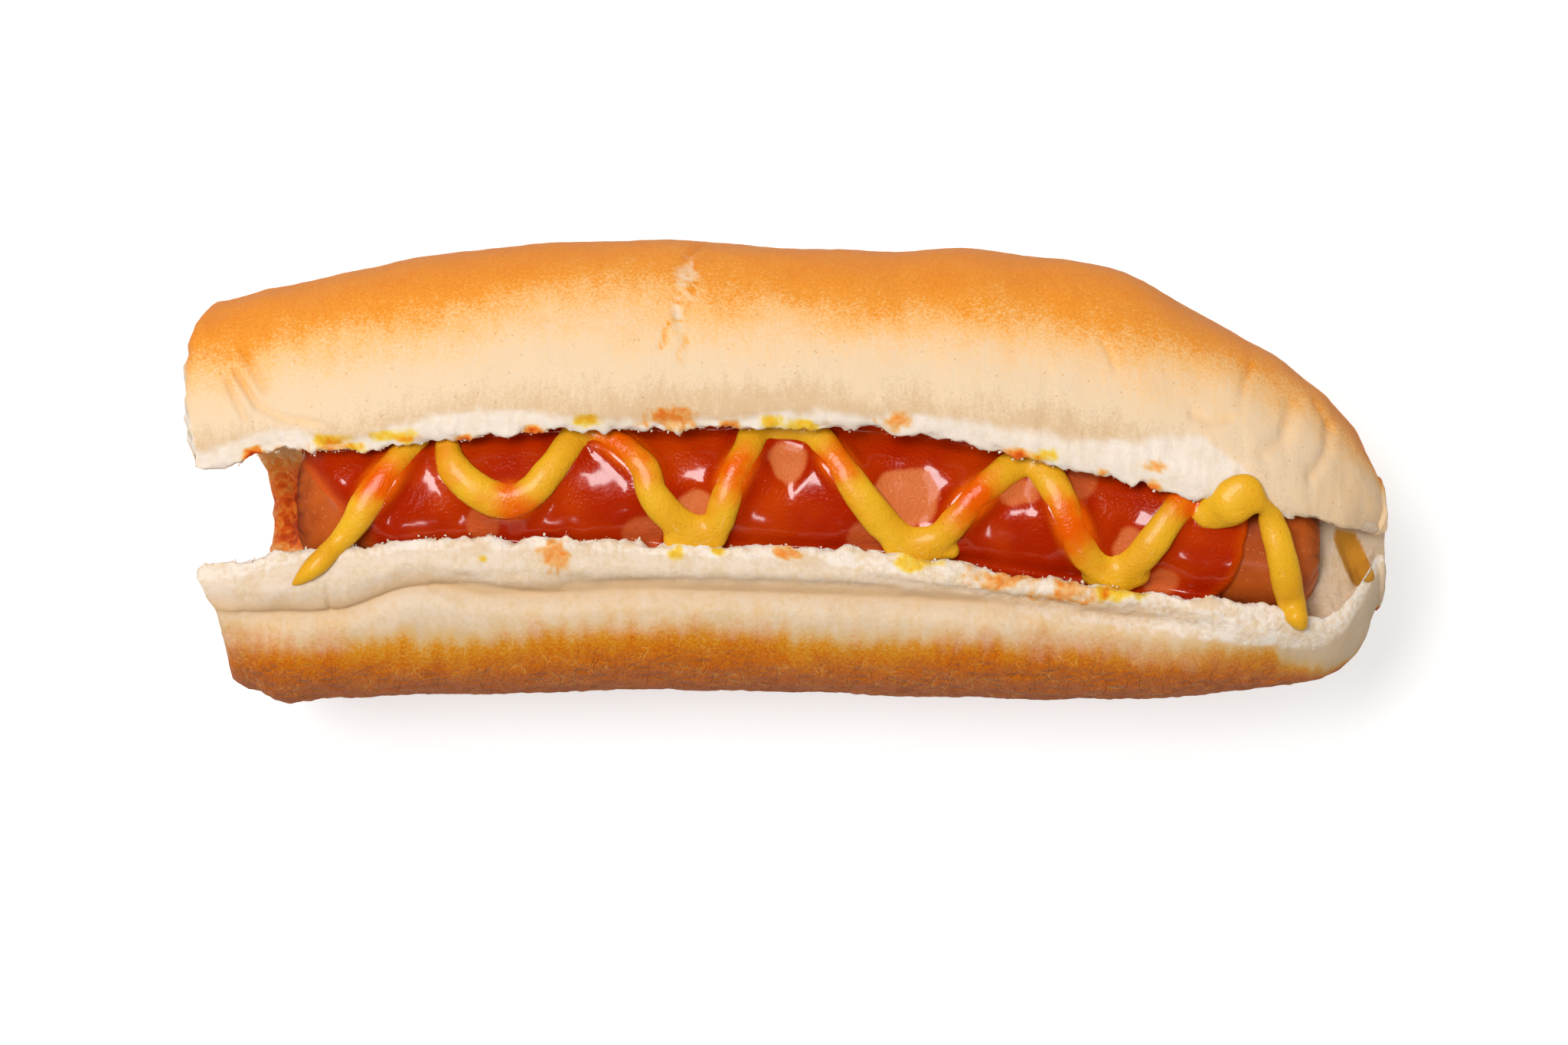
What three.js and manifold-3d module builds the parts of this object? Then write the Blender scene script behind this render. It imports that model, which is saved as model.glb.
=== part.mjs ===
// A hot dog lying on the hinge of its split bun, the split facing up.
// Millimetres, +Z up. +X runs along the bun to its tapered end, +Y to the domed half, -Y to the base half.
import * as THREE from "three";
import { mergeVertices } from "three/addons/utils/BufferGeometryUtils.js";
import Module from "manifold-3d";

// ---- Driving dimensions: the bun ----
const BUN = {
  firstSection: -77.6, // the last full section before each end cap
  lastSection: 80.1,
  sections: 53,
  endCrowding: 0.3, // how much closer the sections stand at the ends
  belly: 25.0, // height of the widest level
  flatDepth: 26.2, // half height of the underside, cut off flat at z = 0
  lipEdge: 1.5, // thickness of the torn edge of each lip
  lipRound: 3.2, // width and drop of the rounding that runs along each lip
  lipDrop: 0.9,
  grooveDepth: 1.4, // the fold along the base half
  grooveWidth: 1.7,
  middle: -12.5, // the line that both sides close in on at the tapered end
  waist: 0.49, // height of the split's widest level, as a share of its depth
  shallow: 12, // a split less deep than this has a thinner lip
};
// How square each quadrant of a section is: 2 is an ellipse, and more is boxier.
const SQUARENESS = { baseTop: 2.9, baseUnder: 2.6, domeUnder: 2.4, domeTop: 2.15 };
// How the tapered end rounds off: [x where it starts, x where it ends, power, root].
const TAPER = { height: [54, 82.6, 2.6, 2.1], dome: [37.2, 81.3, 1.125, 2.845], base: [56.6, 81.0, 5, 1.9] };
const GROOVE_END = { left: [70, 78], right: [46, 62] }; // where the fold fades out, measured outwards
// Each rail is a list of [x, value] knots, joined by a smooth curve.
const DOME_SIDE = rail([
  [-78, 23.1], [-66, 26.2], [-45, 30.0], [-19, 31.5], [14, 30.0], [24, 30.3], [37, 29.0], [46, 29.6],
  [56, 27.8], [81.6, 26.9],
]);
const BASE_SIDE = rail([
  [-78, -29.7], [-75, -31.0], [-71, -31.6], [-64, -30.9], [-13, -30.0], [49, -30.9], [66, -29.5],
  [81.6, -28.8],
]);
const DOME_LIP = rail([
  [-78, 0.6], [-68, 3.2], [-59, 3.0], [-42, 5.0], [-1, 6.2], [18, 5.1], [40, 0.0], [65, -5.5],
  [81, -8.9],
]);
const BASE_LIP = rail([
  [-78, -12.9], [-66, -11.5], [-45, -9.8], [-10, -10.6], [14, -11.6], [34, -15.0], [65, -18.8],
  [73, -19.4], [81, -10.4],
]);
const GROOVE = rail([
  [-76, -19.0], [-60, -18.4], [-50, -15.4], [-39, -16.8], [-18, -16.1], [28, -18.1], [58, -21.2],
]);
const DOME_TOP = rail([[-78, 46.0], [-60, 48.6], [0, 50.0], [50, 49.6], [81, 48.8]]);
const BASE_TOP = rail([[-78, 44.5], [-60, 46.8], [0, 47.4], [50, 47.6], [81, 46.5]]);
// the middle of the split, and the sausage's own line
const AXIS = rail([
  [-66, -4.2], [-30, -2.5], [0, -2.5], [30, -4.9], [72, -10.4],
]);
const SPLIT_DEPTH = rail([
  [-78, 29.0], [-68, 24.0], [-60, 23.8], [62, 23.8], [65.5, 21.5], [68.5, 14.0], [71.5, 9.2], [75, 6.2],
  [78, 4.2], [81, 3.0],
]);
const SPLIT_HALF_WIDTH = rail([[-78, 10.0], [-66, 12.3], [62, 12.3], [74, 8.6], [80, 2.6]]);
// How far each part of an end stands back, from the base lip (0) round the crust to the lip of the dome (1).
const LEFT_RECESS = rail([
  [0, 2.9], [0.14, 3.2], [0.2, 4.6], [0.36, 5.4], [0.47, 8.6], [0.58, 8.6], [0.72, 1.8], [0.82, 0],
  [1, 2],
]);
const RIGHT_RECESS = rail([[0, 0.6], [0.16, 0], [0.85, 0], [1, 1.8]]);
const RECESS_REACH = { left: 28, right: 14 };
const CAP = { left: 3.6, right: 0.8, bluntness: 3.6, rings: [0.93, 0.8, 0.55, 0] };

// ---- Driving dimensions: the sausage and its sauces ----
const SAUSAGE = {
  left: -66.9,
  right: 72.0,
  radius: 10.2,
  height: 35.0, // of its middle line
  endLength: 8.0, // how much of each end is rounded
  bluntness: 2.3,
  tipGap: 0.12, // the last rings stay just short of the tips
  sections: 48,
  endCrowding: 0.45,
  around: 26,
};
// The crumb stands this far clear of the sausage's right end.
const POCKET = { from: 58, gap: 0.4, sections: 14 };
// The ketchup reaches so many radians down each side from the top.
const KETCHUP = { thickness: 1.1, reach: 1.3, from: -60, to: 58.5, edge: 2.6 };
const BARE = [ // where the ketchup leaves the skin bare: [x, across the axis, half length, half width]
  [0, 0.8, 3.2, 3.4],
  [16.5, -0.2, 5.4, 4.6],
  [-13, -3.4, 3.6, 3.0],
  [-20, -6.2, 3.2, 3.0],
  [31, 0.6, 2.8, 2.4],
  [45, -1.2, 2.4, 4.0],
];
// Where the ketchup's edge round a bare patch starts and ends, in shares of the patch.
const BARE_EDGE = [0.7, 1.4];
const MUSTARD = {
  halfHeight: 1.7,
  lift: 0.5, // of a stroke's middle above the ketchup
  breadLift: 0.2, // of its middle above the bread
  lipGap: 0.5,
  segment: 1.6,
  around: 8,
  poolAround: 16,
};
const STRAND_END = [0.6, 0.9]; // rings that round off a strand, in radii past its end
const STRANDS = [ // the drizzle, one list for each stroke: [x, y, radius]
  [[-59.6, -9.0, 1.4], [-56.6, -6.6, 2.1], [-53.6, -1.2, 2.1], [-50.6, 3.4, 1.7]],
  [
    [-45.1, 3.0, 1.9], [-44.0, -1.2, 2.2], [-39.6, -3.9, 2.3], [-35.2, -3.4, 2.2], [-31.6, 0.0, 2.1],
    [-28.4, 4.2, 1.9],
  ],
  [[-28.4, 4.2, 1.9], [-22.4, 3.0, 1.8], [-19.2, -0.6, 1.9], [-16.6, -6.0, 2.2], [-12.6, -8.4, 2.0]],
  [
    [-12.0, -8.4, 2.0], [-9.0, -5.4, 2.1], [-7.7, -1.8, 1.9], [-5.2, 3.6, 1.9], [-0.4, 4.6, 2.0],
    [4.4, 3.4, 1.9], [7.6, -0.8, 1.9], [12.2, -7.0, 2.2], [16.4, -9.4, 2.0],
  ],
  [
    [17.2, -9.4, 2.0], [22.2, -6.4, 2.2], [25.8, -3.2, 1.8], [30.6, 0.4, 2.0], [34.2, -0.8, 2.0],
    [36.4, -6.0, 2.0], [39.4, -11.4, 2.3], [42.8, -13.6, 2.2],
  ],
  [[43.4, -13.6, 2.2], [47.0, -9.6, 2.2], [50.2, -6.6, 2.0], [52.6, -4.6, 1.7]],
  [[58.2, -6.2, 2.0], [63.2, -6.6, 1.9], [65.0, -9.6, 2.0], [66.4, -13.2, 1.9], [67.0, -15.6, 1.5]],
];
const POOLS = [ // where the drizzle gathers: [x, y, half length, half width]
  [-12.3, -8.2, 3.9, 2.2],
  [17.0, -9.3, 4.6, 2.0],
  [43.2, -13.4, 3.9, 2.8],
  [57.6, -7.4, 4.6, 3.6],
];
const STRANDS_ON_BREAD = [ // the ends of the drizzle that lie on the bun
  [[-63.2, -13.4, 1.4], [-64.8, -14.4, 1.0], [-66.0, -15.2, 0.6]],
  [[57.4, -1.9, 2.0], [59.3, -1.2, 2.3], [61.4, -1.9, 1.9]],
  [[67.8, -20.9, 1.2], [68.2, -21.7, 0.7]],
];

const MERGE_DISTANCE = 1e-3;

// ---- Helpers ----
// A smooth curve through [x, value] knots, level beyond the first and the last.
function rail(knots) {
  const slope = knots.map((_, i) => {
    const [x0, v0] = knots[Math.max(i - 1, 0)];
    const [x1, v1] = knots[Math.min(i + 1, knots.length - 1)];
    return (v1 - v0) / (x1 - x0);
  });
  return (x) => {
    if (x <= knots[0][0]) return knots[0][1];
    const i = knots.findIndex(([knotX]) => knotX > x) - 1;
    if (i < 0) return knots.at(-1)[1];
    const [x0, v0] = knots[i];
    const [x1, v1] = knots[i + 1];
    const span = x1 - x0;
    const t = (x - x0) / span;
    const rise = t * t * (3 - 2 * t);
    return v0 + (v1 - v0) * rise + span * t * (1 - t) * (slope[i] * (1 - t) - slope[i + 1] * t);
  };
}

// 1 up to start, then falling to 0 at end, the blunter the larger the two powers.
function taper(x, start, end, power, root) {
  const t = THREE.MathUtils.clamp((x - start) / (end - start), 0, 1);
  return (1 - t ** power) ** (1 / root);
}

// Rings of equal length joined into one closed solid.
// Each end shuts on a point, or on itself where its ring is folded flat.
function loft(wasm, rings, { shut = true } = {}) {
  const around = rings[0].length;
  const points = rings.flat();
  const index = [];
  for (let r = 0; r + 1 < rings.length; r++) {
    for (let k = 0; k < around; k++) {
      const a = r * around + k;
      const b = r * around + ((k + 1) % around);
      index.push(a, b, a + around, b, b + around, a + around);
    }
  }
  if (shut) {
    for (const [r, flip] of [[0, false], [rings.length - 1, true]]) {
      const middle = [0, 1, 2].map((c) => rings[r].reduce((sum, p) => sum + p[c], 0) / around);
      const pole = points.push(middle) - 1;
      for (let k = 0; k < around; k++) {
        const a = r * around + k;
        const b = r * around + ((k + 1) % around);
        index.push(...(flip ? [a, b, pole] : [a, pole, b]));
      }
    }
  }
  const geometry = new THREE.BufferGeometry();
  geometry.setAttribute("position", new THREE.Float32BufferAttribute(points.flat(), 3)).setIndex(index);
  return toSolid(wasm, geometry);
}

// A closed geometry as a solid: its shared vertices merged, and triangles without area dropped.
function toSolid(wasm, geometry) {
  geometry.deleteAttribute("normal");
  geometry.deleteAttribute("uv");
  const merged = mergeVertices(geometry, MERGE_DISTANCE);
  const all = merged.index.array;
  const kept = [];
  for (let i = 0; i < all.length; i += 3) {
    const [a, b, c] = all.slice(i, i + 3);
    if (a !== b && b !== c && c !== a) kept.push(a, b, c);
  }
  const vertProperties = merged.attributes.position.array;
  return new wasm.Manifold(new wasm.Mesh({ numProp: 3, vertProperties, triVerts: new Uint32Array(kept) }));
}

function toMesh(solid, name, material) {
  const { vertProperties, triVerts } = solid.getMesh();
  const geometry = new THREE.BufferGeometry()
    .setAttribute("position", new THREE.BufferAttribute(vertProperties, 3))
    .setIndex(new THREE.BufferAttribute(triVerts, 1));
  geometry.computeVertexNormals();
  const mesh = new THREE.Mesh(geometry, material);
  mesh.name = name;
  return mesh;
}

// ---- Bun ----
const rightRise = (x) => taper(x, ...TAPER.height); // the share of its height that the bun keeps
const domeSide = (x) => BUN.middle + (DOME_SIDE(x) - BUN.middle) * taper(x, ...TAPER.dome);
const baseSide = (x) => BUN.middle + (BASE_SIDE(x) - BUN.middle) * taper(x, ...TAPER.base);
const topOf = (crest, x) => BUN.belly + (crest(x) - BUN.belly) * rightRise(x);

// One quadrant of a section: its half width, its half height and how square it is.
function quadrant(x, turn) {
  const under = BUN.flatDepth * rightRise(x);
  const base = AXIS(x) - baseSide(x);
  const dome = domeSide(x) - AXIS(x);
  if (turn < 0.25) return { a: base, b: topOf(BASE_TOP, x) - BUN.belly, n: SQUARENESS.baseTop };
  if (turn < 0.5) return { a: base, b: under, n: SQUARENESS.baseUnder };
  if (turn < 0.75) return { a: dome, b: under, n: SQUARENESS.domeUnder };
  return { a: dome, b: topOf(DOME_TOP, x) - BUN.belly, n: SQUARENESS.domeTop };
}

// Distance from the section's middle to the crust.
// turn runs 0 to 1 from the top, down the base half, and up the domed half.
function crustRadius(x, turn) {
  const { a, b, n } = quadrant(x, turn);
  const angle = 2 * Math.PI * turn;
  return (Math.abs(Math.sin(angle) / a) ** n + Math.abs(Math.cos(angle) / b) ** n) ** (-1 / n);
}

// The turn at which the crust passes over a place y on the upper side.
function turnAt(x, y) {
  const across = AXIS(x) - y;
  const { a, b, n } = quadrant(x, across > 0 ? 0.1 : 0.9);
  const rise = b * (1 - Math.min(Math.abs(across) / a, 0.98) ** n) ** (1 / n);
  const turn = Math.atan2(across, rise) / (2 * Math.PI);
  return across > 0 ? turn : 1 + turn;
}

function crustPoint(x, turn) {
  const angle = 2 * Math.PI * turn;
  const radius = crustRadius(x, turn);
  const y = AXIS(x) - radius * Math.sin(angle);
  let z = BUN.belly + radius * Math.cos(angle);
  if (turn < 0.25 || turn > 0.75) {
    const fromLip = turn < 0.5 ? BASE_LIP(x) - y : y - DOME_LIP(x);
    z -= BUN.lipDrop * Math.max(0, 1 - fromLip / BUN.lipRound) ** 2;
    if (turn < 0.25) {
      const fade = taper(x, ...GROOVE_END.right, 1, 1) * taper(-x, ...GROOVE_END.left, 1, 1);
      z -= BUN.grooveDepth * fade * Math.exp(-(((y - GROOVE(x)) / BUN.grooveWidth) ** 2));
    }
  }
  return [y, Math.max(z, 0)];
}

// The wall of the split.
// place runs -1 to 1 from the base lip, through the bottom of the split, to the lip of the dome.
function splitPoint(x, place) {
  const side = Math.sign(place) || 1;
  const lip = crustPoint(x, turnAt(x, side < 0 ? BASE_LIP(x) : DOME_LIP(x)));
  const shallow = Math.min(1, SPLIT_DEPTH(x) / BUN.shallow);
  const edge = lip[1] - BUN.lipEdge * shallow;
  const floor = topOf(BASE_TOP, x) - SPLIT_DEPTH(x);
  const middle = floor + BUN.waist * (topOf(BASE_TOP, x) - floor);
  const wall = AXIS(x) + side * SPLIT_HALF_WIDTH(x);
  if (Math.abs(place) > 0.5) {
    const climb = (Math.abs(place) - 0.5) * Math.PI;
    return [lip[0] + (wall - lip[0]) * Math.cos(climb), middle + (edge - middle) * Math.sin(climb)];
  }
  const swing = Math.abs(place) * Math.PI;
  return [AXIS(x) + (wall - AXIS(x)) * Math.sin(swing), middle - (middle - floor) * Math.cos(swing)];
}

// A section as pairs of points, crust and split wall, from the base lip round to the lip of the dome.
function sectionPairs(x) {
  const stops = [
    [turnAt(x, BASE_LIP(x)), -1, 4],
    [turnAt(x, Math.min(GROOVE(x), BASE_LIP(x) - 2)), -0.8, 5],
    [0.25, -0.5, 5],
    [0.5, 0, 4],
    [0.75, 0.5, 7],
    [turnAt(x, DOME_LIP(x)), 1, 0],
  ];
  const pairs = [];
  stops.forEach(([turn, place, steps], i) => {
    if (!steps) return pairs.push([crustPoint(x, turn), splitPoint(x, place)]);
    const [nextTurn, nextPlace] = stops[i + 1];
    for (let s = 0; s < steps; s++) {
      const between = (a, b) => a + ((b - a) * s) / steps;
      pairs.push([crustPoint(x, between(turn, nextTurn)), splitPoint(x, between(place, nextPlace))]);
    }
  });
  return pairs;
}

// One ring of the bun. fold 1 is the full section, and 0 is folded flat on the middle of the bread.
function bunRing(x, fold, push) {
  const fromLeft = 1 - THREE.MathUtils.clamp((x - BUN.firstSection) / RECESS_REACH.left, 0, 1);
  const fromRight = 1 - THREE.MathUtils.clamp((BUN.lastSection - x) / RECESS_REACH.right, 0, 1);
  const pairs = sectionPairs(x);
  const crust = [];
  const wall = [];
  pairs.forEach(([outer, inner], i) => {
    const middle = [(outer[0] + inner[0]) / 2, (outer[1] + inner[1]) / 2];
    const share = i / (pairs.length - 1);
    const at = x + push + LEFT_RECESS(share) * fromLeft ** 2 - RIGHT_RECESS(share) * fromRight ** 2;
    const towards = (p) => [at, middle[0] + (p[0] - middle[0]) * fold, middle[1] + (p[1] - middle[1]) * fold];
    crust.push(towards(outer));
    wall.push(towards(inner));
  });
  return [...crust, ...wall.reverse()];
}

function makeBun(wasm) {
  const middle = (BUN.firstSection + BUN.lastSection) / 2;
  const half = (BUN.lastSection - BUN.firstSection) / 2;
  const rings = [];
  for (let s = 0; s < BUN.sections; s++) {
    const t = (2 * s) / (BUN.sections - 1) - 1;
    rings.push(bunRing(middle + half * (t + BUN.endCrowding * (t - t ** 3)), 1, 0));
  }
  for (const fold of CAP.rings) {
    const bulge = (1 - fold ** CAP.bluntness) ** (1 / CAP.bluntness);
    rings.unshift(bunRing(BUN.firstSection, fold, -CAP.left * bulge));
    rings.push(bunRing(BUN.lastSection, fold, CAP.right * bulge));
  }
  return loft(wasm, rings, { shut: false });
}

// ---- Sausage, ketchup and mustard ----
// How much of the full ketchup lies at x, at an angle down from the top, positive towards the dome.
function ketchupCover(x, angle) {
  const soften = (distance) => THREE.MathUtils.smoothstep(distance, 0, KETCHUP.edge);
  const across = SAUSAGE.radius * Math.sin(angle);
  const fromSide = (KETCHUP.reach - Math.abs(angle)) * SAUSAGE.radius;
  let cover = soften(x - KETCHUP.from) * soften(KETCHUP.to - x) * soften(fromSide);
  for (const [bareX, bareAcross, halfLength, halfWidth] of BARE) {
    const ring = Math.hypot((x - bareX) / halfLength, (across - bareAcross) / halfWidth);
    cover *= THREE.MathUtils.smoothstep(ring, ...BARE_EDGE);
  }
  return cover;
}

function skinRadius(x) {
  const fromEnd = Math.min(x - SAUSAGE.left, SAUSAGE.right - x, SAUSAGE.endLength);
  const t = 1 - Math.max(fromEnd, 0) / SAUSAGE.endLength;
  return SAUSAGE.radius * (1 - t ** SAUSAGE.bluntness) ** (1 / SAUSAGE.bluntness);
}

// The room that the sausage's right end takes in the crumb.
function makePocket(wasm) {
  const rings = Array.from({ length: POCKET.sections }, (_, i) => {
    const t = Math.sin(((Math.PI / 2) * i) / POCKET.sections); // closer together towards the tip
    const x = POCKET.from + (SAUSAGE.right + POCKET.gap - POCKET.from) * t;
    const radius = skinRadius(x - POCKET.gap) + POCKET.gap;
    return sausageRing(x, () => radius);
  });
  return loft(wasm, rings);
}

// One ring round the sausage's line. radiusAt gives its radius at each angle down from the top.
function sausageRing(x, radiusAt) {
  return Array.from({ length: SAUSAGE.around }, (_, k) => {
    const angle = Math.PI * (1 - (2 * k) / SAUSAGE.around);
    const radius = radiusAt(angle);
    return [x, AXIS(x) + radius * Math.sin(angle), SAUSAGE.height + radius * Math.cos(angle)];
  });
}

function makeSausage(wasm) {
  const middle = (SAUSAGE.left + SAUSAGE.right) / 2;
  const half = (SAUSAGE.right - SAUSAGE.left) / 2 - SAUSAGE.tipGap;
  const rings = [];
  for (let s = 0; s < SAUSAGE.sections; s++) {
    const t = (2 * s) / (SAUSAGE.sections - 1) - 1;
    const x = middle + half * (t + SAUSAGE.endCrowding * (t - t ** 3));
    rings.push(sausageRing(x, (angle) => skinRadius(x) + KETCHUP.thickness * ketchupCover(x, angle)));
  }
  return loft(wasm, rings);
}

// How a stroke lies on the sausage: on top of the ketchup, clear of both lips by its own half width,
// and tilted with the skin.
const onSausage = {
  lay(x, y, halfWidth) {
    const clear = halfWidth + MUSTARD.lipGap;
    const across = THREE.MathUtils.clamp(y, BASE_LIP(x) + clear, DOME_LIP(x) - clear) - AXIS(x);
    const rise = Math.sqrt((skinRadius(x) + KETCHUP.thickness + MUSTARD.lift) ** 2 - across ** 2);
    return new THREE.Vector3(x, AXIS(x) + across, SAUSAGE.height + rise);
  },
  up(at) {
    return new THREE.Vector3(0, at.y - AXIS(at.x), at.z - SAUSAGE.height).normalize();
  },
};

// How a stroke lies on the bun: flat on the crust.
const onBread = {
  lay(x, y) {
    return new THREE.Vector3(x, y, crustPoint(x, turnAt(x, y))[1] + MUSTARD.breadLift);
  },
  up() {
    return new THREE.Vector3(0, 0, 1);
  },
};

function makeStrand(wasm, knots, carrier) {
  const places = knots.map((knot) => new THREE.Vector3(...knot));
  const curve = new THREE.CatmullRomCurve3(places, false, "centripetal");
  const widest = Math.max(...knots.map((knot) => knot[2]));
  const laid = (u) => {
    const { x, y } = curve.getPoint(THREE.MathUtils.clamp(u, 0, 1));
    return carrier.lay(x, y, widest);
  };
  const nudge = 0.01; // a small step along the curve, to find its direction
  const steps = Math.ceil(curve.getLength() / MUSTARD.segment);
  const along = Array.from({ length: steps + 1 }, (_, i) => i / steps);
  const [near, far] = STRAND_END;
  const rings = [-far, -near, ...along, 1 + near, 1 + far].map((u) => {
    const radius = curve.getPoint(THREE.MathUtils.clamp(u, 0, 1)).z;
    const beyond = u - THREE.MathUtils.clamp(u, 0, 1); // past either end the strand rounds off
    const shrink = Math.sqrt(1 - beyond ** 2);
    const inner = THREE.MathUtils.clamp(u, nudge, 1 - nudge);
    const forward = laid(inner + nudge).sub(laid(inner - nudge)).normalize();
    const centre = laid(u).addScaledVector(forward, beyond * radius);
    const up = carrier.up(centre);
    const side = new THREE.Vector3().crossVectors(up, forward).normalize();
    return Array.from({ length: MUSTARD.around }, (_, k) => {
      const angle = (2 * Math.PI * k) / MUSTARD.around;
      return centre
        .clone()
        .addScaledVector(side, radius * shrink * Math.cos(angle))
        .addScaledVector(up, Math.min(MUSTARD.halfHeight, radius) * shrink * Math.sin(angle))
        .toArray();
    });
  });
  return loft(wasm, rings);
}

function makePool(wasm, [x, y, halfLength, halfWidth]) {
  const centre = onSausage.lay(x, y, halfWidth);
  const up = onSausage.up(centre);
  const geometry = new THREE.SphereGeometry(1, MUSTARD.poolAround, MUSTARD.poolAround / 2)
    .scale(halfLength, halfWidth, MUSTARD.halfHeight)
    .rotateX(Math.atan2(-up.y, up.z))
    .translate(...centre.toArray());
  return toSolid(wasm, geometry);
}

// ---- Assembly ----
const wasm = await Module();
wasm.setup();

const fuse = (pieces, body) => pieces.reduce((sum, piece) => sum.add(piece), body);
const drizzle = [
  ...STRANDS.map((knots) => makeStrand(wasm, knots, onSausage)),
  ...POOLS.map((pool) => makePool(wasm, pool)),
];
const sausage = fuse(drizzle, makeSausage(wasm));
const bread = makeBun(wasm).subtract(makePocket(wasm));
const bun = fuse(STRANDS_ON_BREAD.map((knots) => makeStrand(wasm, knots, onBread)), bread);

const group = new THREE.Group();
group.name = "hot_dog";
group.add(toMesh(bun, "bun", new THREE.MeshStandardMaterial({ color: 0xd9a45c, roughness: 0.75 })));
group.add(toMesh(sausage, "sausage", new THREE.MeshStandardMaterial({ color: 0xb83a14, roughness: 0.3 })));

export default group;
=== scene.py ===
"""The looks of a hot dog: a split bun, a sausage, ketchup and a mustard drizzle, lit in a pale studio."""

import logging
import math
from dataclasses import dataclass, field
from enum import Enum
from itertools import combinations

import bpy
import numpy as np
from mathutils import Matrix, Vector
from numpy.typing import NDArray


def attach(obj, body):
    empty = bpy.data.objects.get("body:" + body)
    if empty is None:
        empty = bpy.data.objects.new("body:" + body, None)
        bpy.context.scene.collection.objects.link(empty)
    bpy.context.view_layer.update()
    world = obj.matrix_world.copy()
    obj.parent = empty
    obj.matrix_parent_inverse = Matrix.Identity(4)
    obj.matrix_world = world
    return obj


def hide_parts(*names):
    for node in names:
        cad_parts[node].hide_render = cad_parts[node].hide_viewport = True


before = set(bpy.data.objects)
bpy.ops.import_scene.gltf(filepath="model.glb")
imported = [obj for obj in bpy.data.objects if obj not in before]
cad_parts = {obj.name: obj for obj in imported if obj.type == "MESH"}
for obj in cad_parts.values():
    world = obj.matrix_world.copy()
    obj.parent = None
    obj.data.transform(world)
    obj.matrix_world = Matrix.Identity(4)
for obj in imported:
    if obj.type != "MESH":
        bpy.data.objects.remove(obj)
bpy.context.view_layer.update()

Array = NDArray[np.float64]
Triple = tuple[float, float, float]
Colour = Triple
Stops = tuple[tuple[float, Colour], ...]
Knots = tuple[tuple[float, float], ...]
Socket = bpy.types.NodeSocket

MM = 0.001
HALF = 0.5
QUARTER = 0.25
FAR = 99.0
EVEN = (1.0, 1.0, 1.0)
DOWN_THE_SIDE = (1.0, 5.0, 5.0)
BODY = "root"
log = logging.getLogger("hot_dog")


# ---------------------------------------------------------------- numbers and noise


def smoothstep(low: float, high: float, value: Array) -> Array:
    """Rise smoothly from 0 at low to 1 at high.

    Args:
        low: Where the rise starts. It may be above high, and then the result falls.
        high: Where the rise ends.
        value: The values to look up.

    Returns:
        The share of the rise at each value.
    """
    t = np.clip((value - low) / (high - low), 0.0, 1.0)
    return t * t * (3.0 - 2.0 * t)


def blend(a: Array, b: Array, share: Array) -> Array:
    """Mix a and b by share, where 0 is all a."""
    return a + (b - a) * share


def hump(value: Array, middle: Array | float, width: float) -> Array:
    """Rise to 1 at middle and fall away on both sides of it over about width."""
    return np.exp(-(((value - middle) / width) ** 2))


def smooth_min(a: Array, b: Array, width: float) -> Array:
    """Take the smaller of two distances, rounded where they are closer than width."""
    h = np.clip(0.5 + 0.5 * (b - a) / width, 0.0, 1.0)
    return b + (a - b) * h - width * h * (1.0 - h)


@dataclass(frozen=True)
class Taper:
    """A fall from 1 at start to 0 at end, the blunter the larger the power and the root."""

    start: float
    end: float
    power: float = 1.0
    root: float = 1.0

    def __call__(self, x: Array) -> Array:
        """Give the share that is left at each x."""
        t = np.clip((x - self.start) / (self.end - self.start), 0.0, 1.0)
        return (1.0 - t**self.power) ** (1.0 / self.root)


@dataclass(frozen=True)
class Change:
    """An amount that comes in smoothly between two places."""

    amount: float
    start: float
    end: float

    def __call__(self, x: Array) -> Array:
        """Give the amount that has come in at each x."""
        return self.amount * smoothstep(self.start, self.end, x)


@dataclass(frozen=True)
class Rail:
    """A smooth curve through (x, value) knots, level beyond the first and the last."""

    knots: Knots

    def __call__(self, x: Array) -> Array:
        """Read the curve.

        Args:
            x: The places to read it at.

        Returns:
            Its value at each place.
        """
        at, value = np.array(self.knots, float).T
        last = len(at) - 1
        ahead = np.minimum(np.arange(last + 1) + 1, last)
        behind = np.maximum(np.arange(last + 1) - 1, 0)
        slope = (value[ahead] - value[behind]) / (at[ahead] - at[behind])
        x = np.clip(np.asarray(x, float), at[0], at[-1])
        i = np.clip(np.searchsorted(at, x, side="right") - 1, 0, last - 1)
        span = at[i + 1] - at[i]
        t = (x - at[i]) / span
        rise = t * t * (3.0 - 2.0 * t)
        lean = slope[i] * (1.0 - t) - slope[i + 1] * t
        return value[i] + (value[i + 1] - value[i]) * rise + span * t * (1.0 - t) * lean


@dataclass(frozen=True)
class Octave:
    """One layer of noise: how strong it is, the size of its bumps, and how far they are stretched."""

    strength: float
    wavelength: float
    stretch: Triple = EVEN


Octaves = tuple[Octave, ...]


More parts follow.
